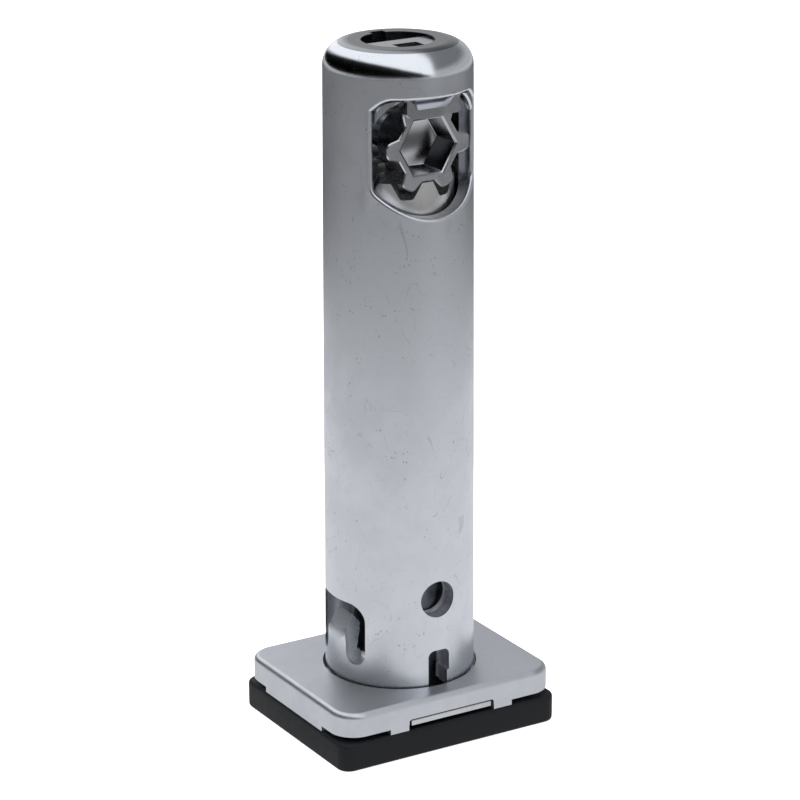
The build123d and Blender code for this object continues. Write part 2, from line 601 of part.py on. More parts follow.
# Base plate: round-cornered cap with tabs, side cut-outs and rivet bosses
ROOF_Z = PLATE_TOP - PLATE_ROOF_T
BOSS_BOTTOM = CLIP_TOP + AXIAL_GAP
with BuildPart() as base_plate:
    with BuildSketch(Plane.XY.offset(PLATE_EDGE)):
        RectangleRounded(PLATE_X, PLATE_Y, PLATE_CORNER)
    extrude(amount=PLATE_TOP - PLATE_EDGE)
    fillet(base_plate.faces().sort_by(Axis.Z)[-1].edges(), RIM_FILLET)
    with BuildSketch(Plane.XY.offset(PLATE_EDGE - 1)):
        RectangleRounded(PLATE_X - 2 * SKIRT_T, PLATE_Y - 2 * SKIRT_T, PLATE_CORNER - SKIRT_T)
    extrude(amount=ROOF_Z - PLATE_EDGE + 1, mode=Mode.SUBTRACT)
    with BuildSketch(Plane.XY.offset(ROOF_Z - 1)):
        Circle(PLATE_HOLE_R)
    extrude(amount=4, mode=Mode.SUBTRACT)
    # Tabs that stand on the pad: one long tab on each flank, two short ones front and rear
    with BuildSketch(Plane.XY.offset(TAB_BOTTOM)):
        with Locations((-PLATE_X / 2 + SKIRT_T / 2, 0), (PLATE_X / 2 - SKIRT_T / 2, 0)):
            Rectangle(SKIRT_T, 2 * LONG_TAB_HALF)
        with GridLocations(SHORT_TAB_IN + SHORT_TAB_OUT, PLATE_Y - SKIRT_T, 2, 2):
            Rectangle(SHORT_TAB_OUT - SHORT_TAB_IN, SKIRT_T)
    extrude(amount=PLATE_EDGE - TAB_BOTTOM)
    # Cut-outs for the clip plate's tongues
    for side in (-1, 1):
        with BuildSketch(Plane.XZ.offset(side * (PLATE_Y / 2 - SKIRT_T - 0.5))) as cutout:
            with Locations((0, CUTOUT_TOP - 1)):
                Rectangle(2 * SHORT_TAB_IN - 0.1, 2)
            fillet(cutout.vertices().group_by(Axis.Y)[-1], 0.35)
        extrude(amount=side * 3, mode=Mode.SUBTRACT)
    # Rivet bosses under the roof
    with BuildSketch(Plane.XY.offset(BOSS_BOTTOM)):
        with GridLocations(2 * RIVET_X, 2 * RIVET_Y, 2, 2):
            Circle(1.9)
    extrude(amount=ROOF_Z - BOSS_BOTTOM + 0.1)
    with BuildSketch(Plane.XY.offset(BOSS_BOTTOM)):
        with GridLocations(2 * RIVET_X, 2 * RIVET_Y, 2, 2):
            Circle(RIVET_R + 0.02)
    extrude(amount=1.8, mode=Mode.SUBTRACT)
base_plate.part.label = "base_plate"
export_step(base_plate.part, "parts/base_plate.step")

# Clip plate: thin sheet under the flange, its tongues show in the skirt's cut-outs
with BuildPart() as clip_plate:
    with BuildSketch(Plane.XY.offset(CLIP_BOTTOM)):
        RectangleRounded(PLATE_X - 2 * SKIRT_T - 0.2, PLATE_Y - 2 * SKIRT_T - 0.2, PLATE_CORNER - SKIRT_T)
        Rectangle(2 * CLIP_TONGUE_HALF, PLATE_Y - 0.2)
        Circle(4.5, mode=Mode.SUBTRACT)
        with GridLocations(2 * RIVET_X, 2 * RIVET_Y, 2, 2):
            Circle(RIVET_R + 0.02, mode=Mode.SUBTRACT)
        with GridLocations(2 * PEG_X, 1, 2, 1):
            Circle(PEG_R + 0.05, mode=Mode.SUBTRACT)
    extrude(amount=CLIP_T)
    fillet(clip_plate.edges().filter_by(Axis.X).group_by(Axis.Y)[0], 0.15)
    fillet(clip_plate.edges().filter_by(Axis.X).group_by(Axis.Y)[-1], 0.15)
clip_plate.part.label = "clip_plate"
export_step(clip_plate.part, "parts/clip_plate.step")

# Four rivets that hold the clip plate to the base plate
rivet_index = 0
for sx in (-1, 1):
    for sy in (-1, 1):
        rivet_index += 1
        with BuildPart() as plate_rivet:
            with BuildSketch(Plane.XY.offset(CLIP_BOTTOM - 0.45)):
                with Locations((sx * RIVET_X, sy * RIVET_Y)):
                    Circle(1.6)
            extrude(amount=0.45)
            fillet(plate_rivet.edges().group_by(Axis.Z)[0], 0.3)
            with BuildSketch(Plane.XY.offset(CLIP_BOTTOM)):
                with Locations((sx * RIVET_X, sy * RIVET_Y)):
                    Circle(RIVET_R)
            extrude(amount=CLIP_T + 1.7)
        plate_rivet.part.label = "plate_rivet_" + str(rivet_index)
        export_step(plate_rivet.part, "parts/plate_rivet_" + str(rivet_index) + ".step")

# Glide pad: rounded slab with a raised middle, two pegs and a relieved underside
with BuildPart() as foot_pad:
    with BuildSketch(Plane.XY):
        RectangleRounded(PAD_X, PAD_Y, PAD_CORNER)
    extrude(amount=PAD_TOP)
    fillet(foot_pad.faces().sort_by(Axis.Z)[-1].edges(), 0.5)
    fillet(foot_pad.faces().sort_by(Axis.Z)[0].edges(), 0.45)
    with BuildSketch(Plane.XY.offset(PAD_TOP - 0.5)):
        RectangleRounded(PLATE_X - 2 * SKIRT_T - 0.6, PLATE_Y - 2 * SKIRT_T - 0.6, PLATE_CORNER - SKIRT_T)
    extrude(amount=CLIP_BOTTOM - 0.02 - PAD_TOP + 0.5)
    with BuildSketch(Plane.XY.offset(PAD_TOP - 0.2)):
        with GridLocations(2 * RIVET_X, 2 * RIVET_Y, 2, 2):
            Circle(2.1)
    extrude(amount=2, mode=Mode.SUBTRACT)
    with BuildSketch(Plane.XY.offset(PAD_TOP)):
        with GridLocations(2 * PEG_X, 1, 2, 1):
            Circle(PEG_R)
    extrude(amount=CLIP_TOP - 0.05 - PAD_TOP)
    with BuildSketch(Plane.XY):
        RectangleRounded(PAD_X - 6, PAD_Y - 6, PAD_CORNER)
    extrude(amount=0.6, mode=Mode.SUBTRACT)
foot_pad.part.label = "foot_pad"
export_step(foot_pad.part, "parts/foot_pad.step")
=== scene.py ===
"""Looks of the levelling foot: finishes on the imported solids, modelled outer pieces, studio and camera."""
import logging
import math
from dataclasses import dataclass
from enum import Enum
from typing import Callable, Sequence

import bmesh
import bpy
from mathutils import Matrix, Vector


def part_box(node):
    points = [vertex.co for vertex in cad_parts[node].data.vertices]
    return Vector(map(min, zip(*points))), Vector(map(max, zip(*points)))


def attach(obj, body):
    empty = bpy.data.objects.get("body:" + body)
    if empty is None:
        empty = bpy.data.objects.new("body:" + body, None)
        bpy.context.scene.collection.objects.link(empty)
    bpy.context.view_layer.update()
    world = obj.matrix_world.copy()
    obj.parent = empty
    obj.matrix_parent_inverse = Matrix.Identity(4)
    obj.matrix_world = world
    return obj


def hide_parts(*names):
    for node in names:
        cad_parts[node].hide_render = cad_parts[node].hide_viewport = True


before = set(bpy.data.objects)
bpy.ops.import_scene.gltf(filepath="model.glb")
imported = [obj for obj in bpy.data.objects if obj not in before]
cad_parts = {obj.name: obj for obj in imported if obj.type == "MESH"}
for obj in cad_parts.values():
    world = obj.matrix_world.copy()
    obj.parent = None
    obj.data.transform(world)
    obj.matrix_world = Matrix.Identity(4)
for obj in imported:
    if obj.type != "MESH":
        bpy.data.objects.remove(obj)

LOG = logging.getLogger("levelling_foot")
MM = 0.001
PINION_AXIS_MM = 80.3
WHITE = (1.0, 1.0, 1.0)

Socket = bpy.types.NodeSocket
Triple = tuple[float, float, float]
Pair = tuple[float, float]


class Lay(Enum):
    """Direction in which a finish is streaked, as the stretch of its tool marks."""

    NONE = (1.0, 1.0, 1.0)
    UPRIGHT = (1.0, 1.0, 0.02)
    LEVEL = (0.03, 0.03, 1.0)


@dataclass(frozen=True)
class Zone:
    """Part of a surface with its own gloss and tone, bounded by the limits that are given.

    Attributes:
        roughness: Roughness inside the zone.
        tone: Factor on the colour inside the zone; under 1 it is painted shade, over 1 painted light.
        above_mm: Height above which it lies.
        below_mm: Height below which it lies.
        inside_mm: Distance from its axis below which it lies.
        axis_height_mm: Height of its level axis, None for the spindle axis.
        behind_mm: Depth along Y behind which it lies.
    """

    roughness: float
    tone: float = 1.0
    above_mm: float | None = None
    below_mm: float | None = None
    inside_mm: float | None = None
    axis_height_mm: float | None = None
    behind_mm: float | None = None


@dataclass(frozen=True)
class Finish:
    """A metal or a plastic surface.

    Attributes:
        name: Material name.
        colour: Linear base colour.
        shade: Linear colour of the patches in it.
        roughness: Roughness of the clean surface.
        spread: How much the roughness wanders.
        grain_mm: Size of the casting, sintering or moulding grain.
        grain_height: Strength of the grain's bump.
        bump_mm: Full height of that bump.
        specks: Strength of the specks, 0 to 1.
        speck: Linear colour of a speck, None for a dark one.
        speck_roughness: What a speck adds to the roughness.
        scratches: Strength of the fine scratches, 0 to 1.
        lay: Direction of tool marks.
        zones: Parts of the surface with their own gloss, some with painted shade or painted light in their
            tone.
        metallic: How metallic it is; a little less than 1 for a milky passivated film, and low on
            guide_zinc, where with its lighter colour it paints light.
        shine: Specular level.
    """

    name: str
    colour: Triple
    shade: Triple
    roughness: float
    spread: float
    grain_mm: float
    grain_height: float
    bump_mm: float = 0.02
    specks: float = 0.0
    speck: Triple | None = None
    speck_roughness: float = 0.25
    scratches: float = 0.0
    lay: Lay = Lay.NONE
    zones: tuple[Zone, ...] = ()
    metallic: float = 1.0
    shine: float = 0.5


class NodeSheet:
    """Small writer of shader node trees."""

    def __init__(self, tree: bpy.types.NodeTree) -> None:
        """Starts on an empty tree.

        Args:
            tree: The tree to fill.
        """
        self.tree = tree
        self.tree.nodes.clear()

    def add(self, kind: str, **settings: object) -> bpy.types.Node:
        """Adds a node and sets its properties.

        Args:
            kind: Blender's node type name.
            settings: Node properties.

        Returns:
            The node.
        """
        node = self.tree.nodes.new(kind)
        for key, value in settings.items():
            setattr(node, key, value)
        return node

    def feed(self, socket: Socket, value: object) -> None:
        """Links an output into a socket, or sets the socket's own value.

        Args:
            socket: Input socket.
            value: Output socket, number or tuple.
        """
        if isinstance(value, Socket):
            self.tree.links.new(value, socket)
        else:
            socket.default_value = value

    def maths(self, operation: str, a: object, b: object = 0.0, clamp: bool = False) -> Socket:
        """Adds a Math node.

        Args:
            operation: Its operation.
            a: First input.
            b: Second input.
            clamp: Whether the result is held to 0 to 1.

        Returns:
            Its output.
        """
        node = self.add("ShaderNodeMath", operation=operation, use_clamp=clamp)
        self.feed(node.inputs[0], a)
        self.feed(node.inputs[1], b)
        return node.outputs[0]

    def vector(self, operation: str, a: Socket, b: Triple = (0.0, 0.0, 0.0)) -> Socket:
        """Adds a Vector Math node that gives a number.

        Args:
            operation: Its operation.
            a: First input.
            b: Second input.

        Returns:
            Its number.
        """
        node = self.add("ShaderNodeVectorMath", operation=operation)
        self.feed(node.inputs[0], a)
        self.feed(node.inputs[1], b)
        return node.outputs["Value"]

    def ramp(self, value: object, low: float, high: float, to_low: float, to_high: float) -> Socket:
        """Adds a smooth Map Range node.

        Args:
            value: Input.
            low: Start of the input range.
            high: End of the input range.
            to_low: Result at the start.
            to_high: Result at the end.

        Returns:
            Its output.
        """
        node = self.add("ShaderNodeMapRange", interpolation_type="SMOOTHSTEP", clamp=True)
        for socket, number in zip(node.inputs, (value, low, high, to_low, to_high)):
            self.feed(socket, number)
        return node.outputs[0]

    def noise(self, place: Socket, scale: object, detail: float = 3.0, distortion: float = 0.0) -> Socket:
        """Adds a Noise Texture.

        Args:
            place: Vector input.
            scale: Scale per metre.
            detail: Octaves.
            distortion: Warp.

        Returns:
            Its factor.
        """
        node = self.add("ShaderNodeTexNoise")
        self.feed(node.inputs["Vector"], place)
        self.feed(node.inputs["Scale"], scale)
        self.feed(node.inputs["Detail"], detail)
        self.feed(node.inputs["Distortion"], distortion)
        return node.outputs["Fac"]

    def stretch(self, place: Socket, scale: Triple, turn: Triple = (0.0, 0.0, 0.0)) -> Socket:
        """Adds a Mapping node, which scales and then turns.

        Args:
            place: Vector input.
            scale: Scale of each axis.
            turn: Rotation in degrees.

        Returns:
            Its vector.
        """
        node = self.add("ShaderNodeMapping")
        self.feed(node.inputs["Vector"], place)
        self.feed(node.inputs["Scale"], scale)
        self.feed(node.inputs["Rotation"], tuple(math.radians(t) for t in turn))
        return node.outputs["Vector"]

    def blend(self, mask: object, low: object, high: object) -> Socket:
        """Adds a colour Mix node.

        Args:
            mask: Factor.
            low: Colour at 0.
            high: Colour at 1.

        Returns:
            Its colour.
        """
        node = self.add("ShaderNodeMix", data_type="RGBA")
        self.feed(node.inputs[0], mask)
        for socket, value in ((node.inputs[6], low), (node.inputs[7], high)):
            self.feed(socket, (*value, 1.0) if isinstance(value, tuple) else value)
        return node.outputs[2]

    def light(self, kind: str, colour: Triple, strength: object = 1.0) -> Socket:
        """Adds an Emission or a Background node.

        Args:
            kind: Which of the two.
            colour: Its colour.
            strength: Its strength.

        Returns:
            Its shader.
        """
        node = self.add(kind)
        self.feed(node.inputs["Color"], (*colour, 1.0))
        self.feed(node.inputs["Strength"], strength)
        return node.outputs[0]

    def mix(self, mask: Socket, low: Socket, high: Socket) -> Socket:
        """Adds a Mix Shader node.

        Args:
            mask: Factor.
            low: Shader at 0.
            high: Shader at 1.

        Returns:
            Its shader.
        """
        node = self.add("ShaderNodeMixShader")
        for socket, value in zip(node.inputs, (mask, low, high)):
            self.feed(socket, value)
        return node.outputs[0]


@dataclass(frozen=True)
class EffectSizes:
    """Sizes of the shared effects. Scales are per metre. An edge is the pair of values where a mask fades.

    Attributes:
        broad_scale: Scale of the broad tone.
        cloud_scale: Scale of the clouds in it.
        broad_share: Share of the broad tone against the clouds.
        tone_edge: Edge of their mix.
        dot_stretch: Stretch of the specks' cells.
        dot_turn: Turn of those cells in degrees.
        dot_scale: Scale of those cells.
        dot_edge: Edge of a speck, in parts of a cell.
        patch_scale: Scale of the patches that hold specks.
        patch_edge: Edge of those patches.
        line_stretch: Stretch along a scratch.
        line_width: Half width of a scratch, as a difference in noise.
        gap_factor: Scale of the gaps in the scratches, against the scale of the scratches.
        gap_edge: Edge of those gaps.
        lines: Turn in degrees and scale of each family of scratches.
    """

    broad_scale: float = 140.0
    cloud_scale: float = 620.0
    broad_share: float = 0.6
    tone_edge: Pair = (0.36, 0.64)
    dot_stretch: Triple = (1.0, 1.0, 0.7)
    dot_turn: Triple = (25.0, 10.0, 35.0)
    dot_scale: float = 2300.0
    dot_edge: Pair = (0.10, 0.34)
    patch_scale: float = 230.0
    patch_edge: Pair = (0.56, 0.66)
    line_stretch: Triple = (1.0, 1.0, 0.16)
    line_width: float = 0.0045
    gap_factor: float = 1.6
    gap_edge: Pair = (0.54, 0.60)
    lines: tuple[tuple[Triple, float], ...] = (((12.0, 8.0, 20.0), 190.0), ((35.0, -28.0, 70.0), 240.0),
                                               ((-62.0, 15.0, 130.0), 300.0), ((8.0, 80.0, 40.0), 270.0))


class EffectGroups:
    """Node groups shared by the finishes, built once each."""

    def __init__(self) -> None:
        """Builds the groups."""
        self.sizes = EffectSizes()
        self.grain = self._grain()
        self.specks = self._specks()
        self.scratches = self._scratches()

    def _start(self, name: str, number: str, value: float,
               outputs: Sequence[str]) -> tuple[NodeSheet, Socket, Socket, bpy.types.Node]:
        """Makes a group with a place and one number as its inputs.

        Args:
            name: Name of the group.
            number: Name of the number.
            value: Default of the number.
            outputs: Names of the number outputs.

        Returns:
            The sheet, the place, the number and the output node.
        """
        tree = bpy.data.node_groups.new(name, "ShaderNodeTree")
        tree.interface.new_socket(name="Place", in_out="INPUT", socket_type="NodeSocketVector")
        socket = tree.interface.new_socket(name=number, in_out="INPUT", socket_type="NodeSocketFloat")
        socket.default_value = value
        for label in outputs:
            tree.interface.new_socket(name=label, in_out="OUTPUT", socket_type="NodeSocketFloat")
        sheet = NodeSheet(tree)
        entry = sheet.add("NodeGroupInput")
        return sheet, entry.outputs["Place"], entry.outputs[number], sheet.add("NodeGroupOutput")

    def _grain(self) -> bpy.types.NodeTree:
        """Builds the grain: a fine height and a broad tone.

        Returns:
            The group.
        """
        sizes = self.sizes
        sheet, place, scale, end = self._start("surface_grain", "Scale", 3000.0, ["Height", "Tone"])
        broad = sheet.noise(place, sizes.broad_scale, 3.0, 0.4)
        cloud = sheet.noise(place, sizes.cloud_scale, 4.0, 0.8)
        both = sheet.maths("ADD", sheet.maths("MULTIPLY", broad, sizes.broad_share),
                           sheet.maths("MULTIPLY", cloud, 1.0 - sizes.broad_share))
        sheet.feed(end.inputs["Height"], sheet.noise(place, scale, 4.0))
        sheet.feed(end.inputs["Tone"], sheet.ramp(both, *sizes.tone_edge, 0.0, 1.0))
        return sheet.tree

    def _specks(self) -> bpy.types.NodeTree:
        """Builds the clustered dark specks of handling and plating.

        Returns:
            The group.
        """
        sizes = self.sizes
        sheet, place, share, end = self._start("sparse_specks", "Share", 0.3, ["Mask"])
        cells = sheet.add("ShaderNodeTexVoronoi")
        sheet.feed(cells.inputs["Vector"], sheet.stretch(place, sizes.dot_stretch, sizes.dot_turn))
        sheet.feed(cells.inputs["Scale"], sizes.dot_scale)
        dots = sheet.ramp(cells.outputs["Distance"], *sizes.dot_edge, 1.0, 0.0)
        few = sheet.ramp(sheet.noise(place, sizes.patch_scale, 5.0, 1.6), *sizes.patch_edge, 0.0, 1.0)
        mask = sheet.maths("MULTIPLY", sheet.maths("MULTIPLY", dots, few), share, True)
        sheet.feed(end.inputs["Mask"], mask)
        return sheet.tree

    def _scratches(self) -> bpy.types.NodeTree:
        """Builds short hair-thin scratches along the middle level of a stretched noise, turned several ways.

        Returns:
            The group.
        """
        sizes = self.sizes
        sheet, place, strength, end = self._start("hair_scratches", "Strength", 0.5, ["Mask"])
        total = None
        for turn, scale in sizes.lines:
            along = sheet.stretch(sheet.stretch(place, (1.0, 1.0, 1.0), turn), sizes.line_stretch)
            level = sheet.maths("SUBTRACT", sheet.noise(along, scale, 0.8, 0.1), 0.5)
            thin = sheet.ramp(sheet.maths("ABSOLUTE", level), 0.0, sizes.line_width, 1.0, 0.0)
            short = sheet.ramp(sheet.noise(place, scale * sizes.gap_factor, 2.0), *sizes.gap_edge, 0.0, 1.0)
            part = sheet.maths("MULTIPLY", thin, short)
            total = part if total is None else sheet.maths("MAXIMUM", total, part)
        sheet.feed(end.inputs["Mask"], sheet.maths("MULTIPLY", total, strength, True))
        return sheet.tree


class FinishShop:
    """Turns finishes into materials.

    Attributes:
        mark_scale: Tool marks per metre.
        mark_height: Height of the tool marks, against the grain.
        speck_tone: Factor on the colour in a dark speck.
        scratch_tone: Factor on the colour in a scratch.
        scratch_depth: Depth of a scratch, against the grain.
        level_fade: Distance in millimetres over which a zone fades in, to each side of a level border.
        rise_fade: The same above a lower border.
        face_fade: The same to each side of an upright face.
        ring_fade: The same inside a round border.
    """

    mark_scale = 6000.0
    mark_height = 1.5
    speck_tone = 0.42
    scratch_tone = 0.5
    scratch_depth = 1.2
    level_fade = 0.1
    rise_fade = 0.35
    face_fade = 0.05
    ring_fade = 0.15

    def __init__(self) -> None:
        """Builds the shared groups."""
        self.effects = EffectGroups()

    def _sheet(self, name: str) -> tuple[bpy.types.Material, NodeSheet, bpy.types.Node, Socket]:
        """Starts a material.

        Args:
            name: Its name.

        Returns:
            The material, its sheet, its Principled node and the object coordinates.
        """
        material = bpy.data.materials.new("finish_" + name)
        material.use_nodes = True
        sheet = NodeSheet(material.node_tree)
        shader = sheet.add("ShaderNodeBsdfPrincipled")
        end = sheet.add("ShaderNodeOutputMaterial")
        sheet.feed(end.inputs["Surface"], shader.outputs["BSDF"])
        place = sheet.add("ShaderNodeTexCoord").outputs["Object"]
        return material, sheet, shader, place

    def _use(self, sheet: NodeSheet, tree: bpy.types.NodeTree, place: Socket,
             value: float) -> bpy.types.Node:
        """Places a shared group in a material.

        Args:
            sheet: The material's sheet.
            tree: The group.
            place: Vector for its Place input.
            value: Number for its second input.

        Returns:
            The group node.
        """
        node = sheet.add("ShaderNodeGroup", node_tree=tree)
        sheet.feed(node.inputs[0], place)
        sheet.feed(node.inputs[1], value)
        return node

    def _zone_mask(self, sheet: NodeSheet, place: Socket, zone: Zone) -> Socket:
        """Makes the mask of a zone from the limits it states.

        Args:
            sheet: The material's sheet.
            place: Object coordinates.
            zone: The zone.

        Returns:
            The mask, 1 inside.
        """
        split = sheet.add("ShaderNodeSeparateXYZ")
        sheet.feed(split.inputs[0], place)
        axes = split.outputs
        borders = []
        if zone.above_mm is not None:
            low = zone.above_mm
            borders.append((axes["Z"], low - self.level_fade, low + self.rise_fade, 0.0, 1.0))
        if zone.below_mm is not None:
            high = zone.below_mm
            borders.append((axes["Z"], high - self.level_fade, high + self.level_fade, 1.0, 0.0))
        if zone.behind_mm is not None:
            face = zone.behind_mm
            borders.append((axes["Y"], face - self.face_fade, face + self.face_fade, 0.0, 1.0))
        if zone.inside_mm is not None:
            second = axes["Y"]
            if zone.axis_height_mm is not None:
                second = sheet.maths("SUBTRACT", axes["Z"], zone.axis_height_mm * MM)
            across = sheet.add("ShaderNodeCombineXYZ")
            sheet.feed(across.inputs[0], axes["X"])
            sheet.feed(across.inputs[1], second)
            radius = sheet.vector("LENGTH", across.outputs[0])
            borders.append((radius, zone.inside_mm - self.ring_fade, zone.inside_mm, 1.0, 0.0))
        mask = None
        for value, start, end, at_start, at_end in borders:
            part = sheet.ramp(value, start * MM, end * MM, at_start, at_end)
            mask = part if mask is None else sheet.maths("MULTIPLY", mask, part)
        return mask

    def make(self, finish: Finish) -> bpy.types.Material:
        """Makes a material.

        Args:
            finish: What it looks like.

        Returns:
            The material.
        """
        material, sheet, shader, place = self._sheet(finish.name)
        grain = self._use(sheet, self.effects.grain, place, 1.0 / (finish.grain_mm * MM))
        tone = grain.outputs["Tone"]
        colour = sheet.blend(tone, finish.colour, finish.shade)
        rough = sheet.ramp(tone, 0.0, 1.0, finish.roughness, finish.roughness + finish.spread)
        height = grain.outputs["Height"]
        for zone in finish.zones:
            mask = self._zone_mask(sheet, place, zone)
            kept = sheet.maths("MULTIPLY", rough, sheet.maths("SUBTRACT", 1.0, mask))
            rough = sheet.maths("ADD", kept, sheet.maths("MULTIPLY", mask, zone.roughness))
            # Painted shade and light: the zone's tone darkens or lightens the colour inside it.
            colour = sheet.blend(mask, colour, tuple(zone.tone * c for c in finish.colour))
        if finish.lay is not Lay.NONE:
            marks = sheet.noise(sheet.stretch(place, finish.lay.value), self.mark_scale, 3.0)
            height = sheet.maths("ADD", height, sheet.maths("MULTIPLY", marks, self.mark_height))
        if finish.specks:
            specks = self._use(sheet, self.effects.specks, place, finish.specks).outputs["Mask"]
            dark = tuple(self.speck_tone * c for c in finish.colour)
            colour = sheet.blend(specks, colour, finish.speck or dark)
            rough = sheet.maths("ADD", rough, sheet.maths("MULTIPLY", specks, finish.speck_roughness))
        if finish.scratches:
            lines = self._use(sheet, self.effects.scratches, place, finish.scratches).outputs["Mask"]
            colour = sheet.blend(lines, colour, tuple(self.scratch_tone * c for c in finish.colour))
            height = sheet.maths("SUBTRACT", height, sheet.maths("MULTIPLY", lines, self.scratch_depth))
        bump = sheet.add("ShaderNodeBump")
        sheet.feed(bump.inputs["Strength"], finish.grain_height)
        sheet.feed(bump.inputs["Distance"], finish.bump_mm * MM)
        sheet.feed(bump.inputs["Height"], height)
        shader.inputs["Metallic"].default_value = finish.metallic
        shader.inputs["Specular IOR Level"].default_value = finish.shine
        sheet.feed(shader.inputs["Base Color"], colour)
        sheet.feed(shader.inputs["Roughness"], rough)
        sheet.feed(shader.inputs["Normal"], bump.outputs["Normal"])
        return material


FINISHES = (
    Finish("shank_zinc", (0.728, 0.752, 0.80), (0.710, 0.734, 0.782), roughness=0.33, spread=0.05,
           grain_mm=0.12, grain_height=0.12, specks=0.6, scratches=0.36,
           # Zone(0.2, 0.38, inside_mm=7.8) is painted shade: its tone darkens the inner walls of the
           # housing.
           zones=(Zone(0.30, inside_mm=9.2), Zone(0.17, above_mm=89.5), Zone(0.2, 0.38, inside_mm=7.8),
                  # Zone(0.55, 1.1, below_mm=30.0, inside_mm=9.7) is painted light: its tone brightens the
                  # cut walls below 30 mm.
                  Zone(0.55, 1.1, below_mm=30.0, inside_mm=9.7))),
    Finish("plate_zinc", (0.585, 0.605, 0.645), (0.56, 0.58, 0.62), roughness=0.36, spread=0.06,
           grain_mm=0.14, grain_height=0.14, specks=0.12, metallic=0.92),
    Finish("pinion_zinc", (0.62, 0.63, 0.66), (0.55, 0.56, 0.59), roughness=0.26, spread=0.08, grain_mm=0.10,
           grain_height=0.12, specks=0.15,
           # The first zone is painted shade: its tone 0.4 darkens the inside of the hex socket.
           zones=(Zone(0.11, 0.4, inside_mm=4.15, axis_height_mm=PINION_AXIS_MM, behind_mm=-7.15),
                  Zone(0.13, inside_mm=4.15, axis_height_mm=PINION_AXIS_MM, behind_mm=-2.95))),
    Finish("gear_sinter", (0.74, 0.735, 0.73), (0.68, 0.675, 0.67), roughness=0.34, spread=0.10,
           grain_mm=0.09, grain_height=0.20, specks=0.3),
    Finish("keeper_zinc", (0.72, 0.735, 0.765), (0.66, 0.675, 0.705), roughness=0.20, spread=0.08,
           grain_mm=0.12, grain_height=0.10),
    # guide_zinc is painted light: lighter than the tube's zinc and only partly metallic, so the guide ring
    # in the shaded notch reads lit.
    Finish("guide_zinc", (0.84, 0.86, 0.89), (0.80, 0.82, 0.85), roughness=0.42, spread=0.08, grain_mm=0.12,
           grain_height=0.14, specks=0.2, metallic=0.4),
    Finish("bright_steel", (0.62, 0.63, 0.64), (0.57, 0.58, 0.59), roughness=0.24, spread=0.10,
           grain_mm=0.10, grain_height=0.15, lay=Lay.LEVEL),
    Finish("sleeve_steel", (0.16, 0.165, 0.18), (0.12, 0.125, 0.14), roughness=0.32, spread=0.12,
           grain_mm=0.10, grain_height=0.15, lay=Lay.UPRIGHT),
    Finish("bearing_bronze", (0.15, 0.133, 0.11), (0.12, 0.105, 0.085), roughness=0.34, spread=0.10,
           grain_mm=0.09, grain_height=0.2, specks=0.3),
    Finish("pad_plastic", (0.0048, 0.0055, 0.0072), (0.0072, 0.0079, 0.0098), roughness=0.55, spread=0.08,
           grain_mm=0.18, grain_height=0.30, bump_mm=0.03, specks=0.35, speck=(0.0177, 0.0190, 0.0226),
           speck_roughness=0.0, metallic=0.0, shine=0.24),
)


class Pick(Enum):
    """What an edit selects."""

    VERTS = "VERT"
    EDGES = "EDGE"
    FACES = "FACE"


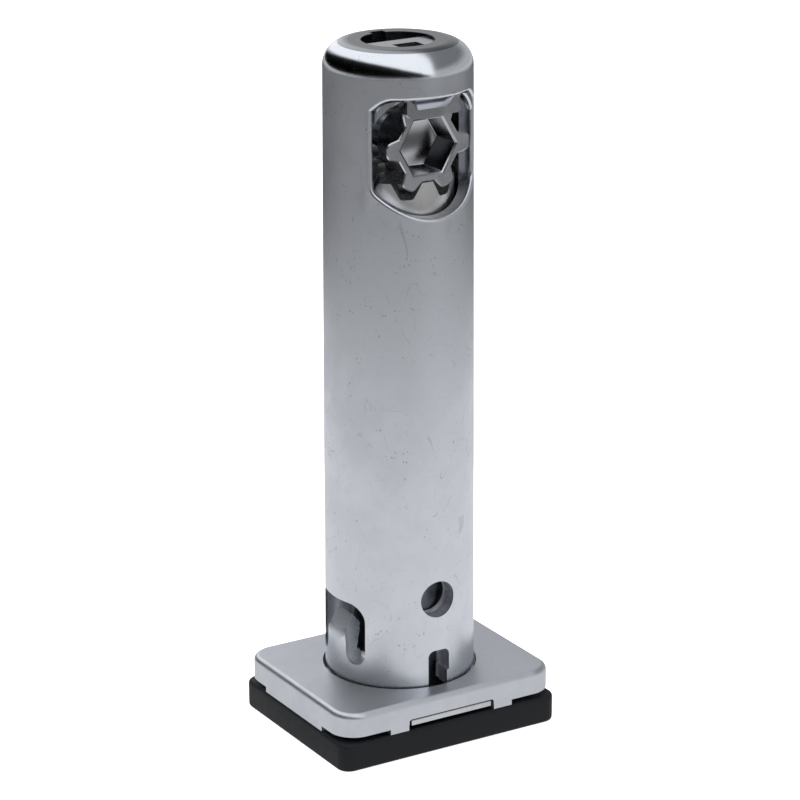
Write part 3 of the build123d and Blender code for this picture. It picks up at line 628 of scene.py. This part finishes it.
class Bench:
    """Shapes one piece at a time with edit operators. Sizes are in millimetres.

    Attributes:
        near: Slack for a place that is compared with a size.
        merge: Distance under which points are one.
        sliver: Length of the slivers that are closed up.
        hole_sides: Most sides of a pinhole that is closed.
        corner_steps: Steps in a rounded corner.
    """

    near = 0.01
    merge = 0.001
    sliver = 0.002
    hole_sides = 8
    corner_steps = 8

    def __init__(self, materials: dict[str, bpy.types.Material]) -> None:
        """Takes the finishes.

        Args:
            materials: Finish by slot name.
        """
        self.materials = materials
        self.piece: bpy.types.Object | None = None

    def clear(self) -> None:
        """Deselects every object."""
        bpy.ops.object.select_all(action="DESELECT")

    def take(self, piece: bpy.types.Object) -> None:
        """Selects one object alone and makes it active.

        Args:
            piece: The object.
        """
        self.clear()
        piece.select_set(True)
        bpy.context.view_layer.objects.active = piece

    def duplicate(self, piece: bpy.types.Object) -> bpy.types.Object:
        """Copies an object with its mesh.

        Args:
            piece: The object.

        Returns:
            The copy.
        """
        self.take(piece)
        bpy.ops.object.duplicate()
        return bpy.context.object

    def edit(self) -> None:
        """Opens the active object for editing."""
        bpy.ops.object.mode_set(mode="EDIT")

    def open(self, name: str) -> None:
        """Names the active object, puts its place into its mesh and opens it for editing.

        Args:
            name: Name of the piece.
        """
        self.piece = bpy.context.object
        self.piece.name = name
        self.piece.data.name = name
        bpy.ops.object.transform_apply(location=True, rotation=True, scale=True)
        self.edit()

    def pick(self, kind: Pick, test: Callable[[Vector, Vector], bool]) -> int:
        """Selects by place and direction.

        Args:
            kind: What is selected.
            test: Says yes for a place in millimetres and a normal, or an edge's run.

        Returns:
            How many were selected.
        """
        bpy.ops.mesh.select_mode(type=kind.value)
        bpy.ops.mesh.select_all(action="DESELECT")
        mesh = bmesh.from_edit_mesh(self.piece.data)
        count = 0
        if kind is Pick.FACES:
            found = [(face, face.calc_center_median(), face.normal) for face in mesh.faces]
        elif kind is Pick.EDGES:
            found = [(edge, (edge.verts[0].co + edge.verts[1].co) / 2, edge.verts[1].co - edge.verts[0].co)
                     for edge in mesh.edges]
        else:
            found = [(vert, vert.co, vert.normal) for vert in mesh.verts]
        for item, place, way in found:
            if test(place / MM, way):
                item.select_set(True)
                count += 1
        mesh.select_flush_mode()
        bmesh.update_edit_mesh(self.piece.data)
        return count

    def extrude(self, rise: float) -> None:
        """Extrudes the selection upwards.

        Args:
            rise: Height of the step.
        """
        bpy.ops.mesh.extrude_region_move(TRANSFORM_OT_translate={"value": (0.0, 0.0, rise * MM)})

    def bevel(self, width: float, segments: int) -> None:
        """Bevels the selected edges.

        Args:
            width: Width of the bevel.
            segments: Steps in it.
        """
        bpy.ops.mesh.bevel(offset=width * MM, segments=segments, profile=0.5, clamp_overlap=True)

    def turned(self, name: str, profile: Sequence[Pair], sides: int = 64,
               middle: Pair = (0.0, 0.0)) -> bpy.types.Object:
        """Makes a turned piece from a disc that is extruded and resized ring by ring.

        Args:
            name: Name of the piece.
            profile: (radius, height) of every ring, from the bottom.
            sides: Sides of the circle.
            middle: X and Y of its axis.

        Returns:
            The piece.
        """
        self.clear()
        radius, height = profile[0]
        centre = (middle[0] * MM, middle[1] * MM, 0.0)
        bpy.ops.mesh.primitive_circle_add(vertices=sides, radius=radius * MM, fill_type="NGON",
                                          location=(centre[0], centre[1], height * MM))
        self.open(name)
        self.pick(Pick.FACES, lambda place, way: True)
        for next_radius, next_height in profile[1:]:
            self.extrude(next_height - height)
            factor = next_radius / radius
            bpy.ops.transform.resize(value=(factor, factor, 1.0), center_override=centre)
            radius, height = next_radius, next_height
        self.tidy()
        return self.piece

    def slab(self, name: str, size: Pair, corner: float, low: float, high: float) -> bpy.types.Object:
        """Makes a slab with rounded corners from a plane that is bevelled and extruded.

        Args:
            name: Name of the piece.
            size: Size along X and Y.
            corner: Radius of its corners.
            low: Height of its underside.
            high: Height of its top.

        Returns:
            The piece.
        """
        self.clear()
        bpy.ops.mesh.primitive_plane_add(size=MM, location=(0.0, 0.0, low * MM))
        bpy.ops.transform.resize(value=(*size, 1.0))
        self.open(name)
        self.pick(Pick.VERTS, lambda place, way: True)
        bpy.ops.mesh.bevel(offset=corner * MM, segments=self.corner_steps, affect="VERTICES")
        self.pick(Pick.FACES, lambda place, way: True)
        self.extrude(high - low)
        self.tidy()
        return self.piece

    def tidy(self) -> None:
        """Merges doubles, turns the faces outwards and goes back to object mode."""
        bpy.ops.mesh.select_all(action="SELECT")
        bpy.ops.mesh.remove_doubles(threshold=self.merge * MM)
        bpy.ops.mesh.normals_make_consistent(inside=False)
        bpy.ops.object.mode_set(mode="OBJECT")

    def combine(self, piece: bpy.types.Object, tool: bpy.types.Object, operation: str) -> None:
        """Cuts a tool out of a piece or joins it on, then removes the tool.

        Args:
            piece: What stays.
            tool: What is used up.
            operation: DIFFERENCE or UNION.
        """
        self.take(piece)
        step = piece.modifiers.new("combine", "BOOLEAN")
        step.operation = operation
        step.solver = "EXACT"
        step.object = tool
        bpy.ops.object.modifier_apply(modifier=step.name)
        bpy.data.objects.remove(tool, do_unlink=True)

    def close(self, piece: bpy.types.Object) -> None:
        """Merges slivers and closes pinholes left by the cuts.

        Args:
            piece: The piece.
        """
        self.piece = piece
        self.take(piece)
        self.edit()
        bpy.ops.mesh.select_all(action="SELECT")
        bpy.ops.mesh.dissolve_degenerate(threshold=self.sliver * MM)
        bpy.ops.mesh.fill_holes(sides=self.hole_sides)
        self.tidy()

    def hand_over(self, piece: bpy.types.Object, node: str, body: str, slot: str,
                  angle: float = 32.0) -> None:
        """Smooths a piece, dresses it, hides the node that it replaces and hangs it on its body.

        Args:
            piece: The piece.
            node: Node that it replaces.
            body: Body that it rides on.
            slot: Its material slot.
            angle: Largest angle in degrees that is shaded smooth.
        """
        self.take(piece)
        bpy.ops.object.shade_smooth_by_angle(angle=math.radians(angle))
        piece.data.materials.clear()
        piece.data.materials.append(self.materials[slot])
        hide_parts(node)
        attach(piece, body)
        LOG.info("modelled %s: %d faces", piece.name, len(piece.data.polygons))


def levels(node: str) -> Triple:
    """Reads a turned node's levels and radius.

    Args:
        node: Name of the node.

    Returns:
        Its bottom, top and half width along X in millimetres.
    """
    low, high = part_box(node)
    return low[2] / MM, high[2] / MM, (high[0] - low[0]) / 2 / MM


@dataclass
class GlidePad:
    """The black glide pad under the plate.

    Attributes:
        length: Size along X.
        width: Size along Y.
        corner: Radius of the corners.
        shoulder: Height of the rim's top.
        middle: Height of the raised middle.
        top_edge: Rounding of the upper edge.
        low_edge: Rounding of the lower edge.
        edge_steps: Steps in both.
        step: Distance from the side to the raised middle.
        rim: Width of the rim that stands on the floor.
        relief: Depth of the relief inside that rim.
        peg_x: Place of the pegs.
        peg_radius: Radius of the pegs.
        peg_top: Height of the pegs' tops.
        peg_edge: Bevel of those tops.
        peg_root: How far the pegs reach into the rim.
        recess_place: Place of the recesses under the rivets.
        recess_radius: Radius of those recesses.
        recess_depth: Depth of those recesses under the shoulder.
        past: How far a tool reaches past the pad.
        sides: Sides of the round forms.
    """

    length: float = 33.3
    width: float = 27.0
    corner: float = 1.8
    shoulder: float = 3.85
    middle: float = 4.33
    top_edge: float = 0.5
    low_edge: float = 0.45
    edge_steps: int = 4
    step: float = 2.05
    rim: float = 3.0
    relief: float = 0.6
    peg_x: float = 10.5
    peg_radius: float = 1.4
    peg_top: float = 5.1
    peg_edge: float = 0.2
    peg_root: float = 0.3
    recess_place: Pair = (12.6, 9.4)
    recess_radius: float = 2.1
    recess_depth: float = 0.2
    past: float = 1.0
    sides: int = 32

    def _inner(self, margin: float) -> Pair:
        """Gives the pad's size less a margin all round.

        Args:
            margin: Width of the margin.

        Returns:
            The size along X and Y.
        """
        return self.length - 2 * margin, self.width - 2 * margin

    def build(self, bench: Bench) -> None:
        """Models the pad.

        Args:
            bench: Where it is shaped.
        """
        pad = bench.slab("glide_pad", self._inner(0.0), self.corner, 0.0, self.shoulder)
        bench.edit()
        for height, edge in ((self.shoulder, self.top_edge), (0.0, self.low_edge)):
            bench.pick(Pick.EDGES, lambda place, way: abs(place.z - height) < bench.near)
            bench.bevel(edge, self.edge_steps)
        bench.tidy()
        middle = bench.slab("middle_tool", self._inner(self.step), self.corner, self.shoulder - self.past,
                            self.middle)
        bench.combine(pad, middle, "UNION")
        relief = bench.slab("relief_tool", self._inner(self.rim), self.corner, -self.past, self.relief)
        bench.combine(pad, relief, "DIFFERENCE")
        peg_profile = ((self.peg_radius, self.shoulder - self.peg_root),
                       (self.peg_radius, self.peg_top - self.peg_edge),
                       (self.peg_radius - self.peg_edge, self.peg_top))
        recess_profile = ((self.recess_radius, self.shoulder - self.recess_depth),
                          (self.recess_radius, self.middle + self.past))
        recess_x, recess_y = self.recess_place
        for side in (-1, 1):
            peg = bench.turned("peg_tool", peg_profile, self.sides, (side * self.peg_x, 0.0))
            bench.combine(pad, peg, "UNION")
            for end in (-1, 1):
                recess = bench.turned("recess_tool", recess_profile, self.sides,
                                      (side * recess_x, end * recess_y))
                bench.combine(pad, recess, "DIFFERENCE")
        bench.hand_over(pad, "foot_pad", "foot", "pad_plastic")


@dataclass
class PlateRivets:
    """The four rivets that hold the clip plate.

    Attributes:
        profile: Turned outline from the domed head upwards.
        sides: Sides of the turned outline.
        count: Number of rivets.
    """

    profile: tuple[Pair, ...] = ((0.45, 3.90), (0.95, 3.93), (1.32, 4.01), (1.54, 4.14), (1.60, 4.26),
                                 (1.60, 4.35), (0.90, 4.35), (0.90, 6.75), (0.80, 6.85))
    sides: int = 32
    count: int = 4

    def build(self, bench: Bench) -> None:
        """Models one rivet and copies it to its four places.

        Args:
            bench: Where it is shaped.
        """
        rivets = [bench.turned("rivet_1", self.profile, self.sides)]
        for number in range(2, self.count + 1):
            copy = bench.duplicate(rivets[0])
            copy.name = f"rivet_{number}"
            rivets.append(copy)
        for number, rivet in enumerate(rivets, 1):
            node = f"plate_rivet_{number}"
            low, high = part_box(node)
            bench.take(rivet)
            bpy.ops.transform.translate(value=((low[0] + high[0]) / 2, (low[1] + high[1]) / 2, 0.0))
            bpy.ops.object.transform_apply(location=True, rotation=True, scale=True)
            bench.hand_over(rivet, node, "foot", "bright_steel")


@dataclass
class SpindleSet:
    """The threaded spindle with its washers and stop screw.

    Attributes:
        major: Major radius of the thread.
        minor: Minor radius of the thread.
        pitch: Pitch of the thread.
        cuts: Cuts in one pitch of its profile.
        flank: Rows of the profile from the crest down to the root.
        turns_spare: Turns that are wound past the rod and cut off.
        cut_slack: Slack of the cuts that end the thread.
        tip: Length of the tapered tip.
        tip_factor: How much the tip narrows.
        neck: Length of the collar and its neck.
        root: How far the neck reaches into the thread.
        collar: Radius of the collar.
        collar_edge: Bevel of the collar.
        shoulder: Height of the collar's top.
        journal: Radius of the journal.
        journal_edge: Bevel of the journal's end.
        bore: Radius of the bore for the stop screw.
        bore_depth: Depth of that bore.
        past: How far a tool reaches past the piece.
        pin_height: Height of the cross hole.
        pin_radius: Radius of the cross hole.
        pin_run: Length of the tool that makes it.
        sides: Sides of the thread and the bores.
        washer_bore: Radius of the hole in the two upper washers.
        stop_bore: Radius of the hole in the stop washer.
        washer_sides: Sides of the washers.
        edge: Bevel of the washers' edges.
        screw_edge: Bevel of the stop screw's ends.
        seat_edge: Bevel under its head.
        screw_radius: Radius of its shank.
        screw_tip: Radius of its tip.
        screw_sides: Sides of the screw.
        key_across: Width of its hex recess across the flats.
        key_depth: Depth of that recess.
    """

    major: float = 3.88
    minor: float = 3.16
    pitch: float = 1.25
    cuts: int = 15
    flank: int = 6
    turns_spare: int = 3
    cut_slack: float = 0.0001
    tip: float = 0.5
    tip_factor: float = 0.8
    neck: float = 1.8
    root: float = 0.3
    collar: float = 3.9
    collar_edge: float = 0.2
    shoulder: float = 60.3
    journal: float = 3.0
    journal_edge: float = 0.4
    bore: float = 1.45
    bore_depth: float = 7.0
    past: float = 1.0
    pin_height: float = 69.4
    pin_radius: float = 0.77
    pin_run: float = 16.0
    sides: int = 32
    washer_bore: float = 3.06
    stop_bore: float = 1.5
    washer_sides: int = 72
    edge: float = 0.12
    screw_edge: float = 0.3
    seat_edge: float = 0.15
    screw_radius: float = 1.38
    screw_tip: float = 1.1
    screw_sides: int = 48
    key_across: float = 2.5
    key_depth: float = 1.2

    def _thread(self, bench: Bench, low: float, high: float) -> bpy.types.Object:
        """Winds the helix from one pitch of its profile.

        Args:
            bench: Where it is shaped.
            low: Height of its lower end.
            high: Height of its upper end.

        Returns:
            The threaded rod.
        """
        start = low - self.pitch
        bench.clear()
        bpy.ops.mesh.primitive_plane_add(size=self.pitch * MM, rotation=(math.pi / 2, 0.0, 0.0),
                                         location=((self.minor + self.pitch / 2) * MM, 0.0, start * MM))
        bench.open("threaded_spindle")
        bench.pick(Pick.VERTS, lambda place, way: place.x > self.minor + self.pitch / 2)
        bpy.ops.mesh.delete(type="VERT")
        bpy.ops.mesh.select_all(action="SELECT")
        bpy.ops.mesh.subdivide(number_cuts=self.cuts)
        grid = self.pitch / (self.cuts + 1)
        for row in range(self.flank):
            reach = row * grid
            bench.pick(Pick.VERTS, lambda place, way: abs(abs(place.z - start) - reach) < bench.near)
            rise = (self.major - self.minor) * min(1.0, (self.flank - row) / (self.flank - 1))
            bpy.ops.transform.translate(value=(rise * MM, 0.0, 0.0))
        bpy.ops.object.mode_set(mode="OBJECT")
        winding = bench.piece.modifiers.new("winding", "SCREW")
        winding.axis = "Z"
        winding.angle = 2 * math.pi
        winding.screw_offset = self.pitch * MM
        winding.iterations = math.ceil((high - low) / self.pitch) + self.turns_spare
        winding.steps = winding.render_steps = self.sides
        bpy.ops.object.modifier_apply(modifier=winding.name)
        bench.edit()
        bpy.ops.mesh.select_all(action="SELECT")
        bpy.ops.mesh.remove_doubles(threshold=bench.sliver * MM)
        for height, outwards in ((low, -1.0), (high, 1.0)):
            bpy.ops.mesh.select_all(action="SELECT")
            bpy.ops.mesh.bisect(plane_co=(0.0, 0.0, height * MM), plane_no=(0.0, 0.0, outwards),
                                use_fill=True, clear_outer=True, threshold=self.cut_slack * MM)
        bench.pick(Pick.FACES, lambda place, way: abs(way.z) > 0.9 and place.z < low + bench.near)
        bench.extrude(-self.tip)
        narrower = (self.tip_factor, self.tip_factor, 1.0)
        bpy.ops.transform.resize(value=narrower, center_override=(0.0, 0.0, 0.0))
        bench.tidy()
        return bench.piece

    def _spindle(self, bench: Bench) -> None:
        """Models the spindle: thread, collar, journal, stop screw's bore and cross hole.

        Args:
            bench: Where it is shaped.
        """
        low, high, _ = levels("spindle")
        neck = self.shoulder - self.neck
        rod = self._thread(bench, low + self.tip, neck)
        journal_end = high - self.journal_edge
        head = bench.turned("head_tool", (
            (self.minor, neck - self.root), (self.collar, neck + self.collar_edge),
            (self.collar, self.shoulder - self.collar_edge), (self.collar - self.collar_edge, self.shoulder),
            (self.journal, self.shoulder), (self.journal, journal_end),
            (self.journal - self.journal_edge, high)))
        bench.combine(rod, head, "UNION")
        bore = bench.turned("bore_tool", ((self.bore, low - self.past), (self.bore, low + self.bore_depth)),
                            self.sides)
        bench.combine(rod, bore, "DIFFERENCE")
        bench.clear()
        bpy.ops.mesh.primitive_cylinder_add(vertices=self.sides, radius=self.pin_radius * MM,
                                            depth=self.pin_run * MM, rotation=self._pin_turn(),
                                            location=(0.0, 0.0, self.pin_height * MM))
        bench.combine(rod, bpy.context.object, "DIFFERENCE")
        bench.close(rod)
        bench.hand_over(rod, "spindle", "spindle", "bright_steel")

    def _pin_turn(self) -> Triple:
        """Turns the cross hole's tool along the pin's longer side.

        Returns:
            Its rotation.
        """
        low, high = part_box("gear_pin")
        if high[0] - low[0] > high[1] - low[1]:
            return (0.0, math.pi / 2, 0.0)
        return (math.pi / 2, 0.0, 0.0)

    def _washer(self, bench: Bench, name: str, node: str, bore: float) -> None:
        """Models a washer as a disc with inset and bridged faces.

        Args:
            bench: Where it is shaped.
            name: Name of the piece.
            node: Node that it replaces.
            bore: Radius of its hole.
        """
        low, high, radius = levels(node)
        flat = radius - self.edge
        profile = ((flat, low), (radius, low + self.edge), (radius, high - self.edge), (flat, high))
        washer = bench.turned(name, profile, self.washer_sides)
        bench.edit()
        bench.pick(Pick.FACES, lambda place, way: abs(way.z) > 0.99 and math.hypot(place.x, place.y) < bore)
        bpy.ops.mesh.inset(thickness=(flat - bore) * MM)
        bpy.ops.mesh.bridge_edge_loops()
        bench.tidy()
        bench.hand_over(washer, node, "spindle", "bright_steel")

    def _screw(self, bench: Bench) -> None:
        """Models the stop screw with its hex recess.

        Args:
            bench: Where it is shaped.
        """
        low, high, radius = levels("stop_screw")
        seat = levels("stop_washer")[0]
        screw = bench.turned("cap_screw", (
            (radius - self.screw_edge, low), (radius, low + self.screw_edge),
            (radius, seat - self.seat_edge), (radius - self.seat_edge, seat), (self.screw_radius, seat),
            (self.screw_radius, high - self.screw_edge), (self.screw_tip, high)), self.screw_sides)
        key_corner = self.key_across / math.sqrt(3)
        key_profile = ((key_corner, low - self.past), (key_corner, low + self.key_depth))
        key = bench.turned("key_tool", key_profile, 6)
        bench.combine(screw, key, "DIFFERENCE")
        bench.hand_over(screw, "stop_screw", "spindle", "bright_steel")

    def build(self, bench: Bench) -> None:
        """Models the set.

        Args:
            bench: Where it is shaped.
        """
        self._spindle(bench)
        self._washer(bench, "washer_over_bearing", "upper_washer", self.washer_bore)
        self._washer(bench, "washer_under_bearing", "lower_washer", self.washer_bore)
        self._washer(bench, "washer_at_stop", "stop_washer", self.stop_bore)
        self._screw(bench)


@dataclass
class KeyPinion:
    """The side pinion with eased edges in its hex socket.

    Attributes:
        axis_height: Height of its level axis.
        corner_radius: Distance of the socket's corners from that axis.
        corner_slack: Slack of that distance.
        face_y: Where the socket opens.
        floor_y: Where the socket ends.
        floor_slack: Slack of that place.
        ease: Width of the eased edges.
        ease_steps: Steps in them.
        flat_angle: Angle in degrees under which neighbouring facets become one face.
        smooth_angle: Largest angle in degrees that is shaded smooth.
    """

    axis_height: float = PINION_AXIS_MM
    corner_radius: float = 4.041
    corner_slack: float = 0.06
    face_y: float = -7.4
    floor_y: float = -2.9
    floor_slack: float = 0.02
    ease: float = 0.13
    ease_steps: int = 3
    flat_angle: float = 0.6
    smooth_angle: float = 28.0

    def _in_socket(self, place: Vector, way: Vector) -> bool:
        """Says whether an edge is a corner of the socket or runs round its floor.

        Args:
            place: Middle of the edge in millimetres.
            way: Run of the edge.

        Returns:
            True if it does.
        """
        radius = math.hypot(place.x, place.z - self.axis_height)
        along = abs(way.normalized().y) > 0.99 and abs(radius - self.corner_radius) < self.corner_slack
        corner = along and self.face_y < place.y < self.floor_y
        level = abs(way.y) < 1e-6 and radius < self.corner_radius
        return corner or (level and abs(place.y - self.floor_y) < self.floor_slack)

    def build(self, bench: Bench) -> None:
        """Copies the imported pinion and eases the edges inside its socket.

        Args:
            bench: Where it is shaped.
        """
        piece = bench.duplicate(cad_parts["side_pinion"])
        piece.parent = None
        bpy.ops.mesh.customdata_custom_splitnormals_clear()
        bench.open("key_pinion")
        bpy.ops.mesh.select_all(action="SELECT")
        bpy.ops.mesh.remove_doubles(threshold=bench.sliver * MM)
        bpy.ops.mesh.dissolve_limited(angle_limit=math.radians(self.flat_angle))
        count = bench.pick(Pick.EDGES, self._in_socket)
        bench.bevel(self.ease, self.ease_steps)
        LOG.info("eased %d edges in the socket", count)
        bench.tidy()
        bench.hand_over(piece, "side_pinion", "pinion", "pinion_zinc", self.smooth_angle)


@dataclass(frozen=True)
class ViewPoint:
    """Where the picture is taken from.

    Attributes:
        place: Camera position in metres.
        azimuth: Degrees round the object, 0 looks along +Y.
        elevation: Degrees above the horizon.
        roll: Degrees of roll.
        lens_mm: Focal length.
        sensor_mm: Width of the sensor.
        shift: Camera shift, in parts of the frame.
        clip: Nearest and furthest distance that is drawn, in metres.
    """

    place: Triple = (-0.20400, -0.33775, 0.17652)
    azimuth: float = -31.164
    elevation: float = 18.507
    roll: float = -0.146
    lens_mm: float = 142.51
    sensor_mm: float = 36.0
    shift: Pair = (-0.00069, 0.00125)
    clip: Pair = (0.01, 20.0)


@dataclass(frozen=True)
class SoftLamp:
    """A soft area lamp that looks at the object.

    Attributes:
        name: Its name.
        azimuth: Degrees round the object, as for the camera.
        elevation: Degrees above the horizon.
        distance: Metres from the object's middle.
        size: Width and height in metres.
        watts: Power.
    """

    name: str
    azimuth: float
    elevation: float
    distance: float
    size: Pair
    watts: float


def outward(azimuth: float, elevation: float) -> Vector:
    """Gives the direction from the object to a viewpoint.

    Args:
        azimuth: Degrees round the object, 0 is the front.
        elevation: Degrees above the horizon.

    Returns:
        The direction.
    """
    a, e = math.radians(azimuth), math.radians(elevation)
    return Vector((math.sin(a) * math.cos(e), -math.cos(a) * math.cos(e), math.sin(e)))


@dataclass(frozen=True)
class Studio:
    """Floor, soft lamps, world and camera. The floor and the surround are white to the camera.

    Attributes:
        view: The photograph's viewpoint.
        lamps: The lamps.
        middle: The point that the lamps look at.
        floor_radius: Radius of the floor in metres.
        floor_sides: Sides of the floor.
        floor_paint: Colour of the floor in diffuse light.
        floor_lift: What is added to it for the camera.
        floor_mirror: Colour of the floor's painted glow in reflections.
        near_mm: Distance from the object up to which that painted glow is bright.
        far_mm: Distance from which it is dim.
        near_light: Its level nearby.
        far_light: Its level further off.
        rim_start_mm: Distance from which it brightens again.
        rim_mm: Distance at which that ends.
        rim_light: What is added there.
        sky_mirror: Colour of the surround in reflections.
        light_lean: Direction that measures how far a reflection looks into the overhead light.
        light_edge: Where that light fades in.
        light_level: Its level.
        side_edge: Where the dark wall at the right fades in, along X.
        wall_heights: Heights between which that wall changes.
        wall_levels: Its levels at the two.
    """

    view: ViewPoint = ViewPoint()
    lamps: tuple[SoftLamp, ...] = (SoftLamp("key_lamp", -75.0, 50.0, 1.0, (0.8, 0.6), 9.0),
                                   SoftLamp("top_lamp", 0.0, 85.0, 1.2, (1.0, 1.0), 8.0))
    middle: Triple = (0.0, 0.0, 0.045)
    floor_radius: float = 3.0
    floor_sides: int = 96
    floor_paint: Triple = (0.80, 0.80, 0.80)
    floor_lift: float = 0.72
    floor_mirror: Triple = (0.985, 0.99, 1.0)
    near_mm: float = 130.0
    far_mm: float = 280.0
    near_light: float = 0.85
    far_light: float = 0.12
    rim_start_mm: float = 450.0
    rim_mm: float = 1000.0
    rim_light: float = 0.50
    sky_mirror: Triple = (0.97, 0.985, 1.0)
    light_lean: Triple = (0.9, 0.03, 1.0)
    light_edge: Pair = (0.18, 0.36)
    light_level: float = 1.15
    side_edge: Pair = (0.36, 0.50)
    wall_heights: Pair = (0.15, 0.47)
    wall_levels: Pair = (0.50, 0.20)

    def camera(self) -> None:
        """Makes the camera at the photograph's viewpoint."""
        view = self.view
        azimuth, roll = math.radians(view.azimuth), math.radians(view.roll)
        back = outward(view.azimuth, view.elevation)
        right = Vector((math.cos(azimuth), math.sin(azimuth), 0.0))
        up = back.cross(right)
        side = right * math.cos(roll) + up * math.sin(roll)
        top = up * math.cos(roll) - right * math.sin(roll)
        data = bpy.data.cameras.new("camera")
        data.sensor_width = view.sensor_mm
        data.lens = view.lens_mm
        data.shift_x, data.shift_y = view.shift
        data.clip_start, data.clip_end = view.clip
        camera = bpy.data.objects.new("camera", data)
        turn = Matrix((side, top, back)).transposed().to_4x4()
        camera.matrix_world = Matrix.Translation(Vector(view.place)) @ turn
        bpy.context.collection.objects.link(camera)
        bpy.context.scene.camera = camera

    def floor(self) -> None:
        """Makes the pale floor disc, which in reflections glows with painted light, bright near the object
        and dim further off.
        """
        bpy.ops.object.select_all(action="DESELECT")
        bpy.ops.mesh.primitive_circle_add(vertices=self.floor_sides, radius=self.floor_radius,
                                          fill_type="NGON", location=(0, 0, 0))
        floor = bpy.context.object
        floor.name = "floor"
        material = bpy.data.materials.new("floor_pale")
        material.use_nodes = True
        sheet = NodeSheet(material.node_tree)
        reach = sheet.vector("LENGTH", sheet.add("ShaderNodeTexCoord").outputs["Object"])
        # Painted light: in reflections the floor glows brightest near the object, dims with distance and
        # brightens again towards its rim.
        near = sheet.ramp(reach, self.near_mm * MM, self.far_mm * MM, self.near_light, self.far_light)
        rim = sheet.ramp(reach, self.rim_start_mm * MM, self.rim_mm * MM, 0.0, self.rim_light)
        painted_floor_glow = sheet.light("ShaderNodeEmission", self.floor_mirror, sheet.maths("ADD", near, rim))
        paint = sheet.add("ShaderNodeBsdfDiffuse")
        sheet.feed(paint.inputs["Color"], (*self.floor_paint, 1.0))
        rays = sheet.add("ShaderNodeLightPath").outputs
        lift = sheet.light("ShaderNodeEmission", WHITE,
                           sheet.maths("MULTIPLY", rays["Is Camera Ray"], self.floor_lift))
        both = sheet.add("ShaderNodeAddShader")
        sheet.feed(both.inputs[0], paint.outputs["BSDF"])
        sheet.feed(both.inputs[1], lift)
        seen = sheet.maths("MAXIMUM", rays["Is Glossy Ray"], rays["Is Transmission Ray"])
        end = sheet.add("ShaderNodeOutputMaterial")
        sheet.feed(end.inputs["Surface"], sheet.mix(seen, both.outputs["Shader"], painted_floor_glow))
        floor.data.materials.append(material)

    def world(self) -> None:
        """Makes the surround, which in reflections is a broad overhead light beside a darker wall."""
        world = bpy.data.worlds.new("surround")
        bpy.context.scene.world = world
        world.use_nodes = True
        sheet = NodeSheet(world.node_tree)
        place = sheet.add("ShaderNodeTexCoord").outputs["Generated"]
        split = sheet.add("ShaderNodeSeparateXYZ")
        sheet.feed(split.inputs[0], place)
        lean = sheet.vector("DOT_PRODUCT", place, self.light_lean)
        light = sheet.ramp(lean, *self.light_edge, 0.0, self.light_level)
        side = sheet.ramp(split.outputs["X"], *self.side_edge, 0.0, 1.0)
        wall = sheet.ramp(split.outputs["Z"], *self.wall_heights, *self.wall_levels)
        inner = sheet.maths("MULTIPLY", light, sheet.maths("SUBTRACT", 1.0, side))
        glow = sheet.maths("ADD", inner, sheet.maths("MULTIPLY", wall, side))
        soft = sheet.light("ShaderNodeBackground", self.sky_mirror, glow)
        plain = sheet.light("ShaderNodeBackground", WHITE)
        rays = sheet.add("ShaderNodeLightPath").outputs
        end = sheet.add("ShaderNodeOutputWorld")
        sheet.feed(end.inputs["Surface"], sheet.mix(rays["Is Camera Ray"], soft, plain))

    def lamp(self, soft: SoftLamp) -> None:
        """Adds a lamp, which doesn't show in reflections.

        Args:
            soft: What it is like.
        """
        back = outward(soft.azimuth, soft.elevation)
        data = bpy.data.lights.new(soft.name, "AREA")
        data.shape = "RECTANGLE"
        data.size, data.size_y = soft.size
        data.energy = soft.watts
        lamp = bpy.data.objects.new(soft.name, data)
        lamp.location = Vector(self.middle) + back * soft.distance
        lamp.rotation_mode = "QUATERNION"
        lamp.rotation_quaternion = (-back).to_track_quat("-Z", "Y")
        lamp.visible_glossy = False
        bpy.context.collection.objects.link(lamp)

    def build(self) -> None:
        """Builds the whole studio."""
        self.floor()
        self.world()
        for soft in self.lamps:
            self.lamp(soft)
        self.camera()
        bpy.context.scene.view_settings.view_transform = "Standard"


def dress_solids(materials: dict[str, bpy.types.Material]) -> None:
    """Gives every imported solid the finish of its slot.

    Args:
        materials: Finish by slot name.
    """
    for name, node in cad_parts.items():
        slot = node.data.materials[0].name.split(".")[0]
        node.data.materials[0] = materials[slot]
        LOG.info("dressed %s with %s", name, slot)


def main() -> None:
    """Builds everything in order."""
    logging.basicConfig(level=logging.INFO, format="%(name)s: %(message)s")
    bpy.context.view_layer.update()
    shop = FinishShop()
    materials = {finish.name: shop.make(finish) for finish in FINISHES}
    dress_solids(materials)
    bench = Bench(materials)
    for assembly in (GlidePad(), PlateRivets(), SpindleSet(), KeyPinion()):
        assembly.build(bench)
    Studio().build()


if __name__ == "__main__":
    main()
